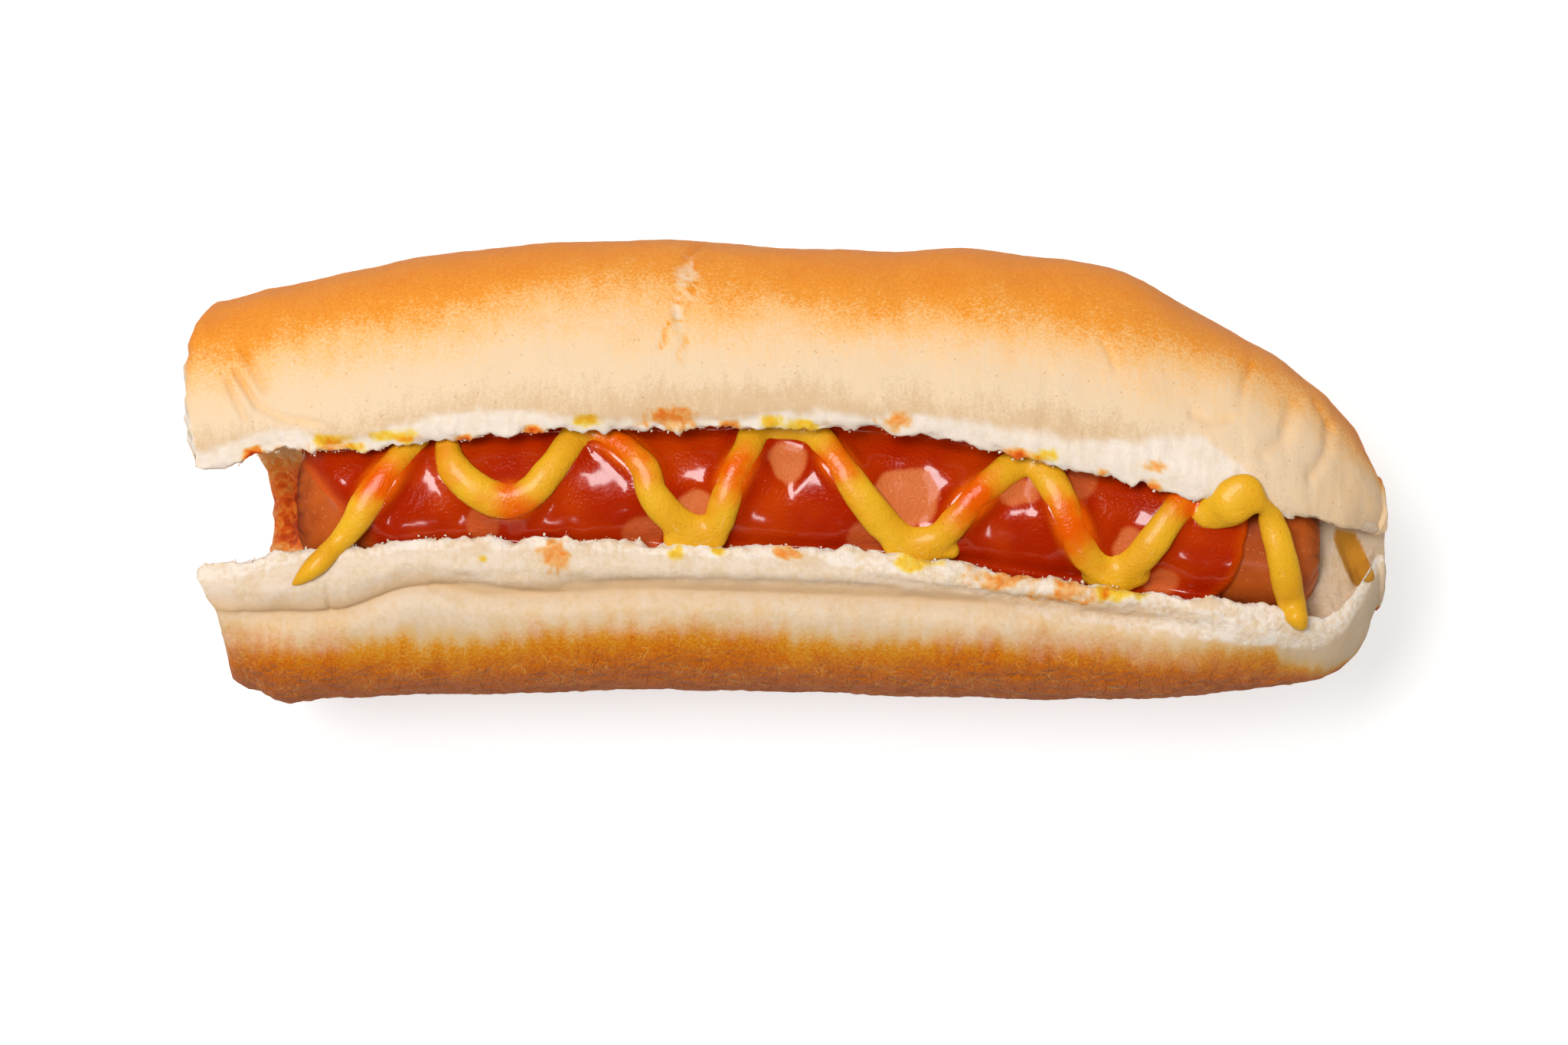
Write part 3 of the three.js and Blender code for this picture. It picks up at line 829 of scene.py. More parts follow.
@dataclass(frozen=True)
class BunForm:
    """The bun's sections, in millimetres. x runs along it, y towards the dome and z out of the split.

    The squareness of each half is given above its belly and below it.
    """

    first: float = -77.6
    last: float = 80.1
    belly: float = 25.0
    flat_depth: float = 26.2
    middle: float = -12.5
    dome_squareness: tuple[float, float] = (2.15, 2.4)
    base_squareness: tuple[float, float] = (2.9, 2.6)
    rise: Taper = Taper(54.0, 82.6, 2.6, 2.1)
    dome_taper: Taper = Taper(37.2, 81.3, 1.125, 2.845)
    base_taper: Taper = Taper(56.6, 81.0, 5.0, 1.9)
    dome_outline: Rail = Rail((
        (-78, 23.1), (-66, 26.2), (-45, 30.0), (-19, 31.5), (14, 30.0), (24, 30.3), (37, 29.0), (46, 29.6),
        (56, 27.8), (81.6, 26.9),
    ))
    base_outline: Rail = Rail((
        (-78, -29.7), (-75, -31.0), (-71, -31.6), (-64, -30.9), (-13, -30.0), (49, -30.9), (66, -29.5),
        (81.6, -28.8),
    ))
    dome_crest: Rail = Rail(((-78, 46.0), (-60, 48.6), (0, 50.0), (50, 49.6), (81, 48.8)))
    base_crest: Rail = Rail(((-78, 44.5), (-60, 46.8), (0, 47.4), (50, 47.6), (81, 46.5)))
    # The lips and the fold along the base half. The curves give its y, and the lips', along the bun.
    lip_edge: float = 1.5
    lip_round: float = 3.2
    lip_drop: float = 0.9
    dome_lip: Rail = Rail((
        (-78, 0.6), (-68, 3.2), (-59, 3.0), (-42, 5.0), (-1, 6.2), (18, 5.1), (40, 0.0),
        (65, -5.5), (81, -8.9),
    ))
    base_lip: Rail = Rail((
        (-78, -12.9), (-66, -11.5), (-45, -9.8), (-10, -10.6), (14, -11.6), (34, -15.0), (65, -18.8),
        (73, -19.4), (81, -10.4),
    ))
    groove_depth: float = 1.4
    groove_width: float = 1.7
    groove_right_fade: Taper = Taper(46.0, 62.0)
    groove_left_fade: Taper = Taper(-70.0, -78.0)
    groove: Rail = Rail((
        (-76, -19.0), (-60, -18.4), (-50, -15.4), (-39, -16.8), (-18, -16.1), (28, -18.1), (58, -21.2),
    ))
    # The split, with the line of its middle, which is the sausage's too.
    shallow: float = 12.0
    widest: float = 0.49
    axis: Rail = Rail(((-66, -4.2), (-30, -2.5), (0, -2.5), (30, -4.9), (72, -10.4)))
    depth: Rail = Rail((
        (-78, 29.0), (-68, 24.0), (-60, 23.8), (62, 23.8), (65.0, 20.0), (67.5, 11.5), (70.5, 7.4), (75, 5.6),
        (78, 4.2), (81, 3.0),
    ))
    width: Rail = Rail(((-78, 10.0), (-66, 12.3), (62, 12.3), (74, 8.6), (80, 2.6)))
    # The ends, by the share of the way round the bread from the base's lip to the dome's.
    parts: tuple[float, ...] = (0.0, 0.16, 0.36, 0.56, 0.72, 1.0)
    wall_parts: tuple[float, ...] = (-1.0, -0.8, -0.5, 0.0, 0.5, 1.0)
    cap_left: float = 3.6
    cap_right: float = 0.8
    cap_bluntness: float = 3.6
    left_reach: float = 28.0
    right_reach: float = 14.0
    left_recess: Rail = Rail((
        (0, 2.8), (0.05, 2.1), (0.1, 2.3), (0.145, 3.2), (0.2, 4.6), (0.36, 5.4), (0.47, 8.6), (0.58, 8.6),
        (0.72, 1.8), (0.82, 0), (1, 2),
    ))
    right_recess: Rail = Rail(((0, 0.6), (0.16, 0), (0.93, 0), (1, 1.3)))

    def dome_side(self, x: Array) -> Array:
        """Give the y of the dome's outer side."""
        return self.middle + (self.dome_outline(x) - self.middle) * self.dome_taper(x)

    def base_side(self, x: Array) -> Array:
        """Give the y of the base's outer side."""
        return self.middle + (self.base_outline(x) - self.middle) * self.base_taper(x)

    def dome_top(self, x: Array) -> Array:
        """Give the height of the dome half."""
        return self.belly + (self.dome_crest(x) - self.belly) * self.rise(x)

    def base_top(self, x: Array) -> Array:
        """Give the height of the base half."""
        return self.belly + (self.base_crest(x) - self.belly) * self.rise(x)

    def quadrant(self, x: Array, turn: Array) -> tuple[Array, Array, Array]:
        """Measure the quarter of the section that a turn lies in.

        Args:
            x: The places along the bun.
            turn: The turns, 0 to 1 from the top, down the base half and up the dome.

        Returns:
            The quarter's half width, its half height and its squareness.
        """
        base = turn < HALF
        lower = (turn >= QUARTER) & (turn < 1.0 - QUARTER)
        wide = np.where(base, self.axis(x) - self.base_side(x), self.dome_side(x) - self.axis(x))
        under = self.flat_depth * self.rise(x)
        over = np.where(base, self.base_top(x), self.dome_top(x)) - self.belly
        above, below = (np.where(base, *pair) for pair in zip(self.base_squareness, self.dome_squareness))
        return wide, np.where(lower, under, over), np.where(lower, below, above)

    def turn_at(self, x: Array, y: Array) -> Array:
        """Find the turn at which the crust passes over a place on the upper side.

        Args:
            x: The places along the bun.
            y: The places across it.

        Returns:
            The turns.
        """
        across = self.axis(x) - y
        wide, high, square = self.quadrant(x, np.where(across > 0, 0.1, 0.9))
        rise = high * (1.0 - np.minimum(np.abs(across) / wide, 0.98) ** square) ** (1.0 / square)
        turn = np.arctan2(across, rise) / (2.0 * np.pi)
        return np.where(across > 0, turn, 1.0 + turn)

    def crust(self, x: Array, turn: Array) -> tuple[Array, Array]:
        """Place points on the crust.

        Args:
            x: The places along the bun.
            turn: The turns, 0 to 1 from the top, down the base half and up the dome.

        Returns:
            The points' y and z.
        """
        angle = 2.0 * np.pi * turn
        wide, high, square = self.quadrant(x, turn)
        across, up = np.abs(np.sin(angle) / wide), np.abs(np.cos(angle) / high)
        radius = (across**square + up**square) ** (-1.0 / square)
        y = self.axis(x) - radius * np.sin(angle)
        z = self.belly + radius * np.cos(angle)
        from_lip = np.where(turn < HALF, self.base_lip(x) - y, y - self.dome_lip(x))
        upper = (turn < QUARTER) | (turn > 1.0 - QUARTER)
        drop = self.lip_drop * np.maximum(0.0, 1.0 - from_lip / self.lip_round) ** 2
        z = z - np.where(upper, drop, 0.0)
        fade = self.groove_right_fade(x) * self.groove_left_fade(x)
        fold = self.groove_depth * fade * hump(y, self.groove(x), self.groove_width)
        return y, np.maximum(z - np.where(turn < QUARTER, fold, 0.0), 0.0)

    def wall(self, x: Array, place: Array) -> tuple[Array, Array]:
        """Place points on the wall of the split.

        Args:
            x: The places along the bun.
            place: The places round the wall, -1 to 1 from the base's lip to the dome's.

        Returns:
            The points' y and z.
        """
        axis, side = self.axis(x), np.where(place < 0, -1.0, 1.0)
        lip = np.where(side < 0, self.base_lip(x), self.dome_lip(x))
        lip_y, lip_z = self.crust(x, self.turn_at(x, lip))
        depth = self.depth(x)
        edge = lip_z - self.lip_edge * np.minimum(1.0, depth / self.shallow)
        floor = self.base_top(x) - depth
        middle = floor + self.widest * depth
        wall = axis + side * self.width(x)
        climb, swing = (np.abs(place) - 0.5) * np.pi, np.abs(place) * np.pi
        high = np.abs(place) > 0.5
        y = np.where(high, lip_y + (wall - lip_y) * np.cos(climb), axis + (wall - axis) * np.sin(swing))
        rise = np.where(high, (edge - middle) * np.sin(climb), -(middle - floor) * np.cos(swing))
        return y, middle + rise

    def pair(self, x: Array, share: Array) -> tuple[Array, Array]:
        """Find the places on the crust and on the wall that face each other.

        Args:
            x: The places along the bun.
            share: The shares of the way round the bread from the base's lip to the dome's.

        Returns:
            The turns on the crust, and the places on the wall.
        """
        groove = self.turn_at(x, np.minimum(self.groove(x), self.base_lip(x) - 2.0))
        lips = self.turn_at(x, self.base_lip(x)), self.turn_at(x, self.dome_lip(x))
        turns = (lips[0], groove, QUARTER, HALF, 1.0 - QUARTER, lips[1])
        turn = turns[0]
        for i, (start, end) in enumerate(zip(self.parts, self.parts[1:])):
            t = np.clip((share - start) / (end - start), 0.0, 1.0)
            turn = np.where(share >= start, turns[i] + (turns[i + 1] - turns[i]) * t, turn)
        return turn, np.interp(share, self.parts, self.wall_parts)

    def top(self, x: Array, y: Array) -> Array:
        """Give the height of the crust over a place on the upper side."""
        return self.crust(x, self.turn_at(x, y))[1]


@dataclass(frozen=True)
class SausageForm:
    """The sausage's skin, in millimetres."""

    left: float = -66.9
    right: float = 72.0
    radius: float = 10.2
    height: float = 35.0
    end_length: float = 8.0
    bluntness: float = 2.3
    coat: float = 1.1

    def skin(self, x: Array) -> Array:
        """Measure the skin along the sausage.

        Args:
            x: The places along it.

        Returns:
            The skin's radius at each place.
        """
        from_end = np.clip(np.minimum(x - self.left, self.right - x), 0.0, self.end_length)
        t = 1.0 - from_end / self.end_length
        return self.radius * (1.0 - t**self.bluntness) ** (1.0 / self.bluntness)


# ---------------------------------------------------------------- the bread


@dataclass(frozen=True)
class Spot:
    """A patch on the bread seen from above: its middle and half sizes."""

    x: float
    y: float
    half_length: float
    half_width: float

    def share(self, x: Array, y: Array, ragged: Array) -> Array:
        """Give 1 inside the patch and 0 outside, with a ragged edge."""
        ring = np.hypot((x - self.x) / self.half_length, (y - self.y) / self.half_width)
        return smoothstep(1.25, 0.35, ring + ragged)


@dataclass(frozen=True)
class Crease:
    """A soft fold in the crust along a line seen from above."""

    knots: Knots
    width: float
    depth: float

    def sink(self, x: Array, y: Array) -> Array:
        """Press the fold into the crust.

        Args:
            x: The places along the bun.
            y: The places across it.

        Returns:
            How far the crust is sunk at each place.
        """
        gap = np.full(x.shape, FAR)
        for (x0, y0), (x1, y1) in zip(self.knots, self.knots[1:]):
            dx, dy = x1 - x0, y1 - y0
            t = np.clip(((x - x0) * dx + (y - y0) * dy) / (dx * dx + dy * dy), 0.0, 1.0)
            gap = np.minimum(gap, np.hypot(x - x0 - t * dx, y - y0 - t * dy))
        return self.depth * hump(gap, 0.0, self.width)


@dataclass(frozen=True)
class Crack:
    """A fine wavy crack across the dome, seen from above."""

    x: float
    y: float
    lean_below: float
    lean_above: float
    wave: float
    waves: float
    fray: float
    width: float
    start: tuple[float, float]
    end: tuple[float, float]

    def share(self, x: Array, y: Array, ragged: Array) -> Array:
        """Draw the crack.

        Args:
            x: The places along the bun.
            y: The places across it.
            ragged: The noise that frays it.

        Returns:
            1 in the crack and 0 away from it.
        """
        along = y - self.y
        middle = self.x + self.lean_below * np.minimum(along, 0.0) + self.lean_above * np.maximum(along, 0.0)
        middle = middle + self.wave * np.sin(self.waves * y) + self.fray * ragged
        return hump(x, middle, self.width) * smoothstep(*self.start, y) * smoothstep(*self.end, y)


class Side(Enum):
    """The faces that a point of the bun can lie on."""

    CRUST = 0
    LIP = 1
    WALL = 2


@dataclass
class Places:
    """Where the points of the bun lie, on which face, and how far from its lips and its fold."""

    points: Array
    kind: Array
    closing: Array
    form: BunForm
    noise: Noise
    ragged_octaves: Octaves = (Octave(0.5, 3.2), Octave(0.35, 1.1))

    def __post_init__(self) -> None:
        """Work out the turns, the distances and the ragged noise that the edges share."""
        form = self.form
        self.x, self.y, self.z = np.moveaxis(self.points, -1, 0)
        angle = np.arctan2(form.axis(self.x) - self.y, self.z - form.belly)
        self.turn = np.mod(angle / (2.0 * np.pi), 1.0)
        self.outside = self.on(Side.CRUST)
        self.upper = self.z > form.belly
        self.base_half = self.turn < HALF
        self.dome_half = self.turn > HALF
        self.roll = self.y - form.groove(self.x)
        self.from_dome = self.y - form.dome_lip(self.x)
        self.from_base = form.base_lip(self.x) - self.y
        self.ragged = self.noise.mixed(self.points, self.ragged_octaves)

    def on(self, side: Side) -> Array:
        """Tell which points lie on a face."""
        return self.kind == side.value


@dataclass
class Bun:
    """The split bun: crust with its folds and cracks, torn white lips and the crumb of the split."""

    form: BunForm = field(default_factory=BunForm)
    finish: BreadFinish = field(default_factory=BreadFinish)
    stations: int = 460
    end_crowding: float = 0.3
    cap_rings: int = 9
    overlap: float = 0.1
    crust_rows: tuple[int, ...] = (20, 34, 8, 8, 54)
    wall_rows: tuple[int, ...] = (13, 13, 16, 13, 13)
    nose_rows: int = 6
    nose_bulge: float = 0.35
    nose_middle: float = -6.0
    seed: int = 11
    # The torn lips, the cut end and the crumb.
    teeth: float = 0.95
    teeth_reach: float = 0.85
    right_fray: float = 0.15
    fray: Octaves = (Octave(0.5, 2.2), Octave(0.3, 0.9))
    fringe: Octaves = (Octave(0.6, 3.4), Octave(0.36, 1.4), Octave(0.22, 0.6))
    wool: Octaves = (Octave(0.45, 3.0), Octave(0.3, 1.5), Octave(0.2, 0.9))
    fibres: Octaves = (Octave(0.2, 1.1, (1.0, 5.0, 2.0)), Octave(0.1, 2.6))
    torn_edge: Rail = Rail((
        (-78, 1.8), (-70, 2.0), (-63, 1.2), (-59, 0.6), (-52, 2.2), (-38, 2.6), (-26, 0.8), (-12, 0.3),
        (0, 1.2), (16, 1.6), (30, 2.8), (44, 4.6), (54, 7.4), (60, 5.0), (64, 0.5), (69, -0.7), (80, -0.9),
    ))
    fluff_edge: Rail = Rail((
        (-78, 2.4), (-62, 1.0), (0, 1.2), (14, 2.4), (30, 4.2), (50, 4.6), (68, 4.6), (75, 2.8), (80, 1.0),
    ))
    # The crust and its browning, by the distance in quarter turns from the middle of each half.
    swell: Octaves = (Octave(0.2, 22.0), Octave(0.2, 9.0))
    skin: Octaves = (Octave(0.06, 2.4), Octave(0.04, 1.2))
    plates: Octaves = (Octave(0.2, 2.6, (1.8, 1.0, 1.0)), Octave(0.1, 1.2))
    wander: Octaves = (Octave(0.075, 26.0), Octave(0.03, 7.0), Octave(0.025, 2.2, DOWN_THE_SIDE))
    streaks: Octaves = (Octave(0.03, 1.4, DOWN_THE_SIDE),)
    dome_middle: float = 0.75
    base_middle: float = 0.27
    # Near the lip the dome's browning falls to 0, which picks the darker first colour stop: painted shade.
    dome_browning: Rail = Rail((
        (0.0, 0.98), (0.2, 0.92), (0.33, 0.76), (0.43, 0.5), (0.52, 0.32), (0.6, 0.2),
        (0.68, 0.12), (0.79, 0.0),
    ))
    base_browning: Rail = Rail((
        (0.0, 1.0), (0.3, 0.98), (0.42, 0.88), (0.5, 0.7), (0.56, 0.5), (0.61, 0.22),
        (0.67, 0.06), (1.0, 0.0),
    ))
    dome_paler: tuple[Change, ...] = (Change(0.04, -50.0, 0.0), Change(-0.07, 20.0, 50.0))
    base_paler: tuple[Change, ...] = (Change(-0.09, 0.0, 45.0), Change(0.25, 62.0, 76.0))
    tip_bake: Change = Change(0.13, 62.0, 80.0)
    shoulder_bake: Change = Change(0.13, 50.0, 58.0)
    # The crust's colour is darkened along its folds.
    dome_fold_darkening: float = 0.13
    base_fold_darkening: float = 0.12
    creases: tuple[Crease, ...] = (
        Crease(((-74.2, 13.3), (-71.0, 8.6), (-67.5, 6.9), (-62.0, 5.9)), 0.5, 0.85),
        Crease(((-75.2, 12.0), (-72.4, 6.4)), 0.5, 0.6),
        Crease(((-73.4, 16.5), (-70.2, 11.0)), 0.7, 0.6),
        Crease(((-69.0, 5.0), (-66.6, 1.6)), 0.5, 0.25),
        Crease(((41.4, 17.8), (42.6, 15.6), (43.4, 13.4)), 0.35, 0.35),
        Crease(((53.6, 7.4), (56.0, 6.4), (58.6, 6.9)), 0.6, 0.5),
        Crease(((63.0, 2.0), (66.0, 4.2), (67.4, 8.6)), 1.1, 0.55),
        Crease(((69.5, -1.0), (72.0, 2.6), (72.6, 6.4)), 0.9, 0.5),
        Crease(((60.5, 10.5), (62.0, 14.0)), 0.6, 0.3),
        Crease(((70.6, 9.0), (73.4, 5.2)), 0.5, 0.3),
        Crease(((-28.6, 12.0), (-28.9, 9.4)), 0.22, 0.3),
        Crease(((-13.0, 17.5), (-13.8, 14.2)), 0.3, 0.3),
        Crease(((-61.6, -15.6), (-61.3, -18.4)), 0.3, 0.4),
        Crease(((-74.6, -12.8), (-74.2, -15.0)), 0.4, 0.3),
        Crease(((-47.5, -15.0), (-42.0, -15.3), (-36.0, -16.3), (-30.0, -16.9)), 0.45, 0.4),
        Crease(((-44.0, -14.2), (-35.0, -13.9), (-27.0, -14.3)), 0.6, 0.25),
        Crease(((-30.0, -15.2), (-12.0, -14.6), (4.0, -15.1), (14.0, -15.9)), 0.55, 0.3),
        Crease(((10.0, -14.2), (26.0, -16.4), (38.0, -18.2)), 0.5, 0.3),
    )
    cracks: tuple[Crack, ...] = (
        Crack(-16.9, 17.4, 0.0, 0.5, 0.4, 1.9, 0.5, 0.28, (15.4, 16.4), (22.0, 20.6)),
        Crack(-14.7, 14.6, 0.26, 0.26, 0.3, 2.3, 0.3, 0.25, (14.0, 15.0), (18.4, 17.4)),
        Crack(-13.4, 29.4, 1.1, 1.1, 0.0, 0.0, 0.5, 0.4, (28.0, 28.8), (31.4, 30.4)),
    )
    crack_patches: tuple[Spot, ...] = (Spot(-13.6, 25.8, 1.7, 3.2), Spot(-15.0, 21.4, 0.8, 2.6))
    # The pocket beside the sausage's right tip, and the stains.
    pit_x: float = 76.4
    pit_y: float = -12.1
    pit_lean: float = 0.42
    pit_half_length: float = 1.9
    pit_half_width: float = 4.0
    pit_depth: float = 1.1
    soaking: Octaves = (Octave(0.6, 2.4), Octave(0.5, 0.9))
    ketchup_spots: tuple[Spot, ...] = (
        Spot(-72.0, -0.6, 1.1, 1.3),
        Spot(-64.6, 2.2, 4.4, 1.0),
        Spot(-60.4, 3.0, 2.4, 0.7),
        Spot(-31.2, -11.4, 1.7, 2.3),
        Spot(-16.0, 6.9, 4.2, 1.5),
        Spot(13.8, 6.4, 2.3, 0.9),
        Spot(0.2, -10.9, 1.8, 0.8),
        Spot(29.0, -14.6, 5.4, 1.2),
        Spot(37.0, -16.2, 4.6, 1.3),
        Spot(48.0, 0.3, 2.4, 0.7),
    )
    mustard_spots: tuple[Spot, ...] = (
        Spot(-61.2, 4.0, 2.4, 0.8),
        Spot(-57.8, 2.9, 1.6, 0.6),
        Spot(-52.4, 4.4, 2.6, 0.7),
        Spot(-40.8, -11.8, 0.7, 0.4),
        Spot(-26.8, 6.4, 2.0, 0.6),
        Spot(-2.4, 6.4, 2.0, 0.9),
        Spot(1.4, 5.9, 2.6, 0.7),
        Spot(-15.2, -11.2, 1.5, 1.1),
        Spot(-9.6, -10.9, 1.1, 0.8),
        Spot(17.4, -12.2, 3.4, 1.1),
        Spot(33.6, 1.9, 1.6, 0.7),
        Spot(44.2, -16.4, 2.5, 1.4),
        Spot(67.2, -19.6, 1.4, 1.2),
    )
    lips: Array = field(init=False, repr=False, default_factory=lambda: np.zeros((0, 3)))

    def build(self) -> bpy.types.Object:
        """Make the bun's mesh, with the numbers that its finish reads, and keep its lips for the crumbs.

        Returns:
            The bun.
        """
        x, fold, push = self._stations()
        crust = self._folded(x, fold, push, self._spread(self.crust_rows), outer=True)
        wall = self._folded(x, fold, push, self._spread(self.wall_rows), outer=False)
        noses = [self._nose(wall[:, 0], crust[:, 0]), self._nose(crust[:, -1], wall[:, -1])]
        plain = np.concatenate([crust, noses[1], wall[:, ::-1], noses[0]], axis=1)
        columns = (crust.shape[1], self.nose_rows, wall.shape[1], self.nose_rows)
        sides = [side.value for side in (Side.CRUST, Side.LIP, Side.WALL, Side.LIP)]
        kind = np.broadcast_to(np.repeat(sides, columns), plain.shape[:2])
        closing = np.clip(1.0 - fold, 0.0, 1.0)[:, None] * np.ones(plain.shape[:2])
        at = Places(plain, kind, closing, self.form, Noise(self.seed))
        marks = self._marks(at)
        points = self._raised(at, marks, fold)
        rims = (crust.shape[1] + self.nose_rows // 2, -self.nose_rows // 2)
        points += self._fringe(points, rims, fold)
        points[..., 2] = np.maximum(points[..., 2], 0.0)
        between_caps = slice(self.cap_rings, -self.cap_rings)
        self.lips = np.concatenate([points[between_caps, rim] for rim in rims])
        made = make_mesh("bun_bread", points.reshape(-1, 3), grid_faces(*points.shape[:2], closed=True))
        for name in ("bake", "base", "net", "crumb", "torn", "painted_shade", "pit", "ketchup", "mustard"):
            add_attribute(made, name, marks[name])
        made.data.materials.append(self.finish.make("bread"))
        return made

    def _spread(self, rows: tuple[int, ...]) -> Array:
        """Place the rows of a section.

        Args:
            rows: How many rows each of its parts has.

        Returns:
            The share of the way from the base's lip to the dome's at each row.
        """
        ends = zip(self.form.parts, self.form.parts[1:], rows)
        return np.concatenate([*(np.linspace(*end, endpoint=False) for end in ends), [1.0]])

    def _stations(self) -> tuple[Array, Array, Array]:
        """Place the rings along the bun, with a folded cap at each end.

        Returns:
            Each ring's x, how far it is unfolded, and how far a cap pushes it out.
        """
        form = self.form
        t = np.linspace(-1.0, 1.0, self.stations)
        middle, half = (form.first + form.last) / 2, (form.last - form.first) / 2
        body = middle + half * (t + self.end_crowding * (t - t**3))
        fold = np.sin(np.linspace(-self.overlap, np.pi / 2, self.cap_rings, endpoint=False))
        bulge = (1.0 - np.abs(fold) ** form.cap_bluntness) ** (1.0 / form.cap_bluntness)
        x = np.concatenate([np.full(self.cap_rings, form.first), body, np.full(self.cap_rings, form.last)])
        push = np.concatenate([-form.cap_left * bulge, np.zeros(self.stations), form.cap_right * bulge[::-1]])
        return x, np.concatenate([fold, np.ones(self.stations), fold[::-1]]), push

    def _folded(self, x: Array, fold: Array, push: Array, share: Array, outer: bool) -> Array:
        """Place a grid of points on the crust or on the wall.

        Args:
            x: Each ring's place along the bun.
            fold: How far each ring is unfolded. At the caps it closes towards the middle of the bread.
            push: How far each ring is pushed along the bun.
            share: Each row's share of the way from the base's lip to the dome's.
            outer: Whether the grid lies on the crust.

        Returns:
            The points, one row for each ring.
        """
        form = self.form
        xs, shares = np.meshgrid(x, share, indexing="ij")
        turn, place = form.pair(xs, shares)
        crust = np.stack(form.crust(xs, turn), axis=-1)
        wall = np.stack(form.wall(xs, place), axis=-1)
        middle = (crust + wall) / 2
        section = middle + ((crust if outer else wall) - middle) * fold[:, None, None]
        from_left = 1.0 - np.clip((xs - form.first) / form.left_reach, 0.0, 1.0)
        from_right = 1.0 - np.clip((form.last - xs) / form.right_reach, 0.0, 1.0)
        along = xs + push[:, None] + form.left_recess(shares) * from_left**2
        along -= form.right_recess(shares) * from_right**2
        return np.concatenate([along[..., None], section], axis=-1)

    def _nose(self, start: Array, end: Array) -> Array:
        """Round the edge of a lip.

        Args:
            start: The last points before the edge.
            end: The first points after it.

        Returns:
            The rows of points between them.
        """
        t = np.linspace(0.0, 1.0, self.nose_rows + 2)[1:-1]
        rows = start[:, None] + (end - start)[:, None] * t[None, :, None]
        length = np.linalg.norm(end - start, axis=-1)
        side = np.sign(start[:, 1] - self.nose_middle)
        rows[..., 1] -= self.nose_bulge * side[:, None] * length[:, None] * np.sin(np.pi * t)[None, :]
        return rows

    def _marks(self, at: Places) -> dict[str, Array]:
        """Work out how baked, torn, folded or stained each point is, and where shade is painted.

        Args:
            at: Where the points lie.

        Returns:
            The numbers that the finish and the relief read, by name.
        """
        dome_bake, base_bake, base, net = self._baking(at)
        torn, crumb = self._opened(at)
        patch, line = self._crack(at)
        rough = at.noise(at.points, 1.0)
        crumb = np.maximum(crumb, 0.5 * patch * smoothstep(-0.3, 0.2, rough))
        dome_bake = dome_bake - 0.2 * patch + 0.5 * patch * smoothstep(-0.2, -0.5, rough)
        dome_bake = np.clip(dome_bake + 0.7 * line * (1.0 - patch) * (dome_bake + 0.35), 0.0, 1.0)
        pit_at, pit = self._pit(at)
        return {
            "bake": np.clip(blend(dome_bake, base_bake, base), 0.0, 1.0),
            "base": base,
            "net": net,
            "crumb": crumb,
            "torn": torn,
            "painted_shade": self._painted_crumb_shade(at),
            "pit": pit,
            "pit_at": pit_at,
            "ketchup": self._stain(at, crumb) * smoothstep(0.95, 0.6, at.closing),
            "mustard": self._spots(self.mustard_spots, at.x, at.y, at.ragged) * at.upper,
            "roll": np.where(at.base_half & at.upper & at.outside, at.roll, FAR),
            "patch": patch,
            "line": line,
        }

    def _baking(self, at: Places) -> tuple[Array, Array, Array, Array]:
        """Work out how browned the two halves are.

        Args:
            at: Where the points lie.

        Returns:
            The browning of the dome and of the base, the base's share, and how far its crust is cracked.
        """
        wander = at.noise.mixed(at.points, self.wander)
        streaks = at.noise.mixed(at.points, self.streaks)
        from_dome_middle = np.abs(at.turn - self.dome_middle) / QUARTER + wander
        dome = self.dome_browning(from_dome_middle + sum(change(at.x) for change in self.dome_paler))
        dome = np.maximum(dome, self.tip_bake(at.x + 4.0 * wander) + self.shoulder_bake(at.x))
        from_base_middle = np.abs(at.turn - self.base_middle) / QUARTER + 0.6 * wander + streaks
        from_base_middle += sum(change(at.x) for change in self.base_paler)
        base = smoothstep(0.54, 0.46, at.turn)
        net = smoothstep(0.58, 0.4, from_base_middle) * base * at.outside
        folds = self._folds(at)
        # Darken the colour along the folds.
        dome = dome + self.dome_fold_darkening * folds
        return dome, self.base_browning(from_base_middle) + self.base_fold_darkening * folds, base, net

    def _folds(self, at: Places) -> Array:
        """Give how deep the crust's folds are."""
        return sum(crease.sink(at.x, at.y) for crease in self.creases) * at.outside * at.upper

    def _opened(self, at: Places) -> tuple[Array, Array]:
        """Work out where white crumb shows: on the lips, along the fold, in the split and at the cut end.

        Args:
            at: Where the points lie.

        Returns:
            How torn the dome's lip is, and how far each point is crumb.
        """
        x, roll, ragged = at.x, at.roll, at.ragged
        torn = smoothstep(0.7, -0.6, at.from_dome - self.torn_edge(x) - ragged)
        torn = torn * at.dome_half * at.upper
        fluff = smoothstep(0.3, -0.3, at.from_base - self.fluff_edge(x) - ragged)
        fluff = fluff * at.base_half * at.upper
        cut = smoothstep(0.3, 0.6, at.closing + 0.2 * ragged) * (x < 0)
        teeth = at.noise(at.points, 1.5, DOWN_THE_SIDE)
        band = blend(0.7, 0.64, smoothstep(-54.0, -66.0, x))
        band = band * smoothstep(-6.6, -3.8, roll + 1.2 * ragged + 1.1 * teeth)
        fuzzy = 0.52 * np.where(roll > 0.0, smoothstep(0.3, 1.6, roll), band)
        fuzzy *= at.base_half * at.upper * smoothstep(64.0, 40.0, x)
        crumb = np.where(at.outside, np.maximum(torn, np.maximum(fluff, fuzzy)), 1.0)
        return torn, np.maximum(crumb, cut) * (1.0 - self._closed(at) * (x > 0))

    @staticmethod
    def _closed(at: Places) -> Array:
        """Tell how far each point lies on a cap."""
        return smoothstep(0.1, 0.5, at.closing)

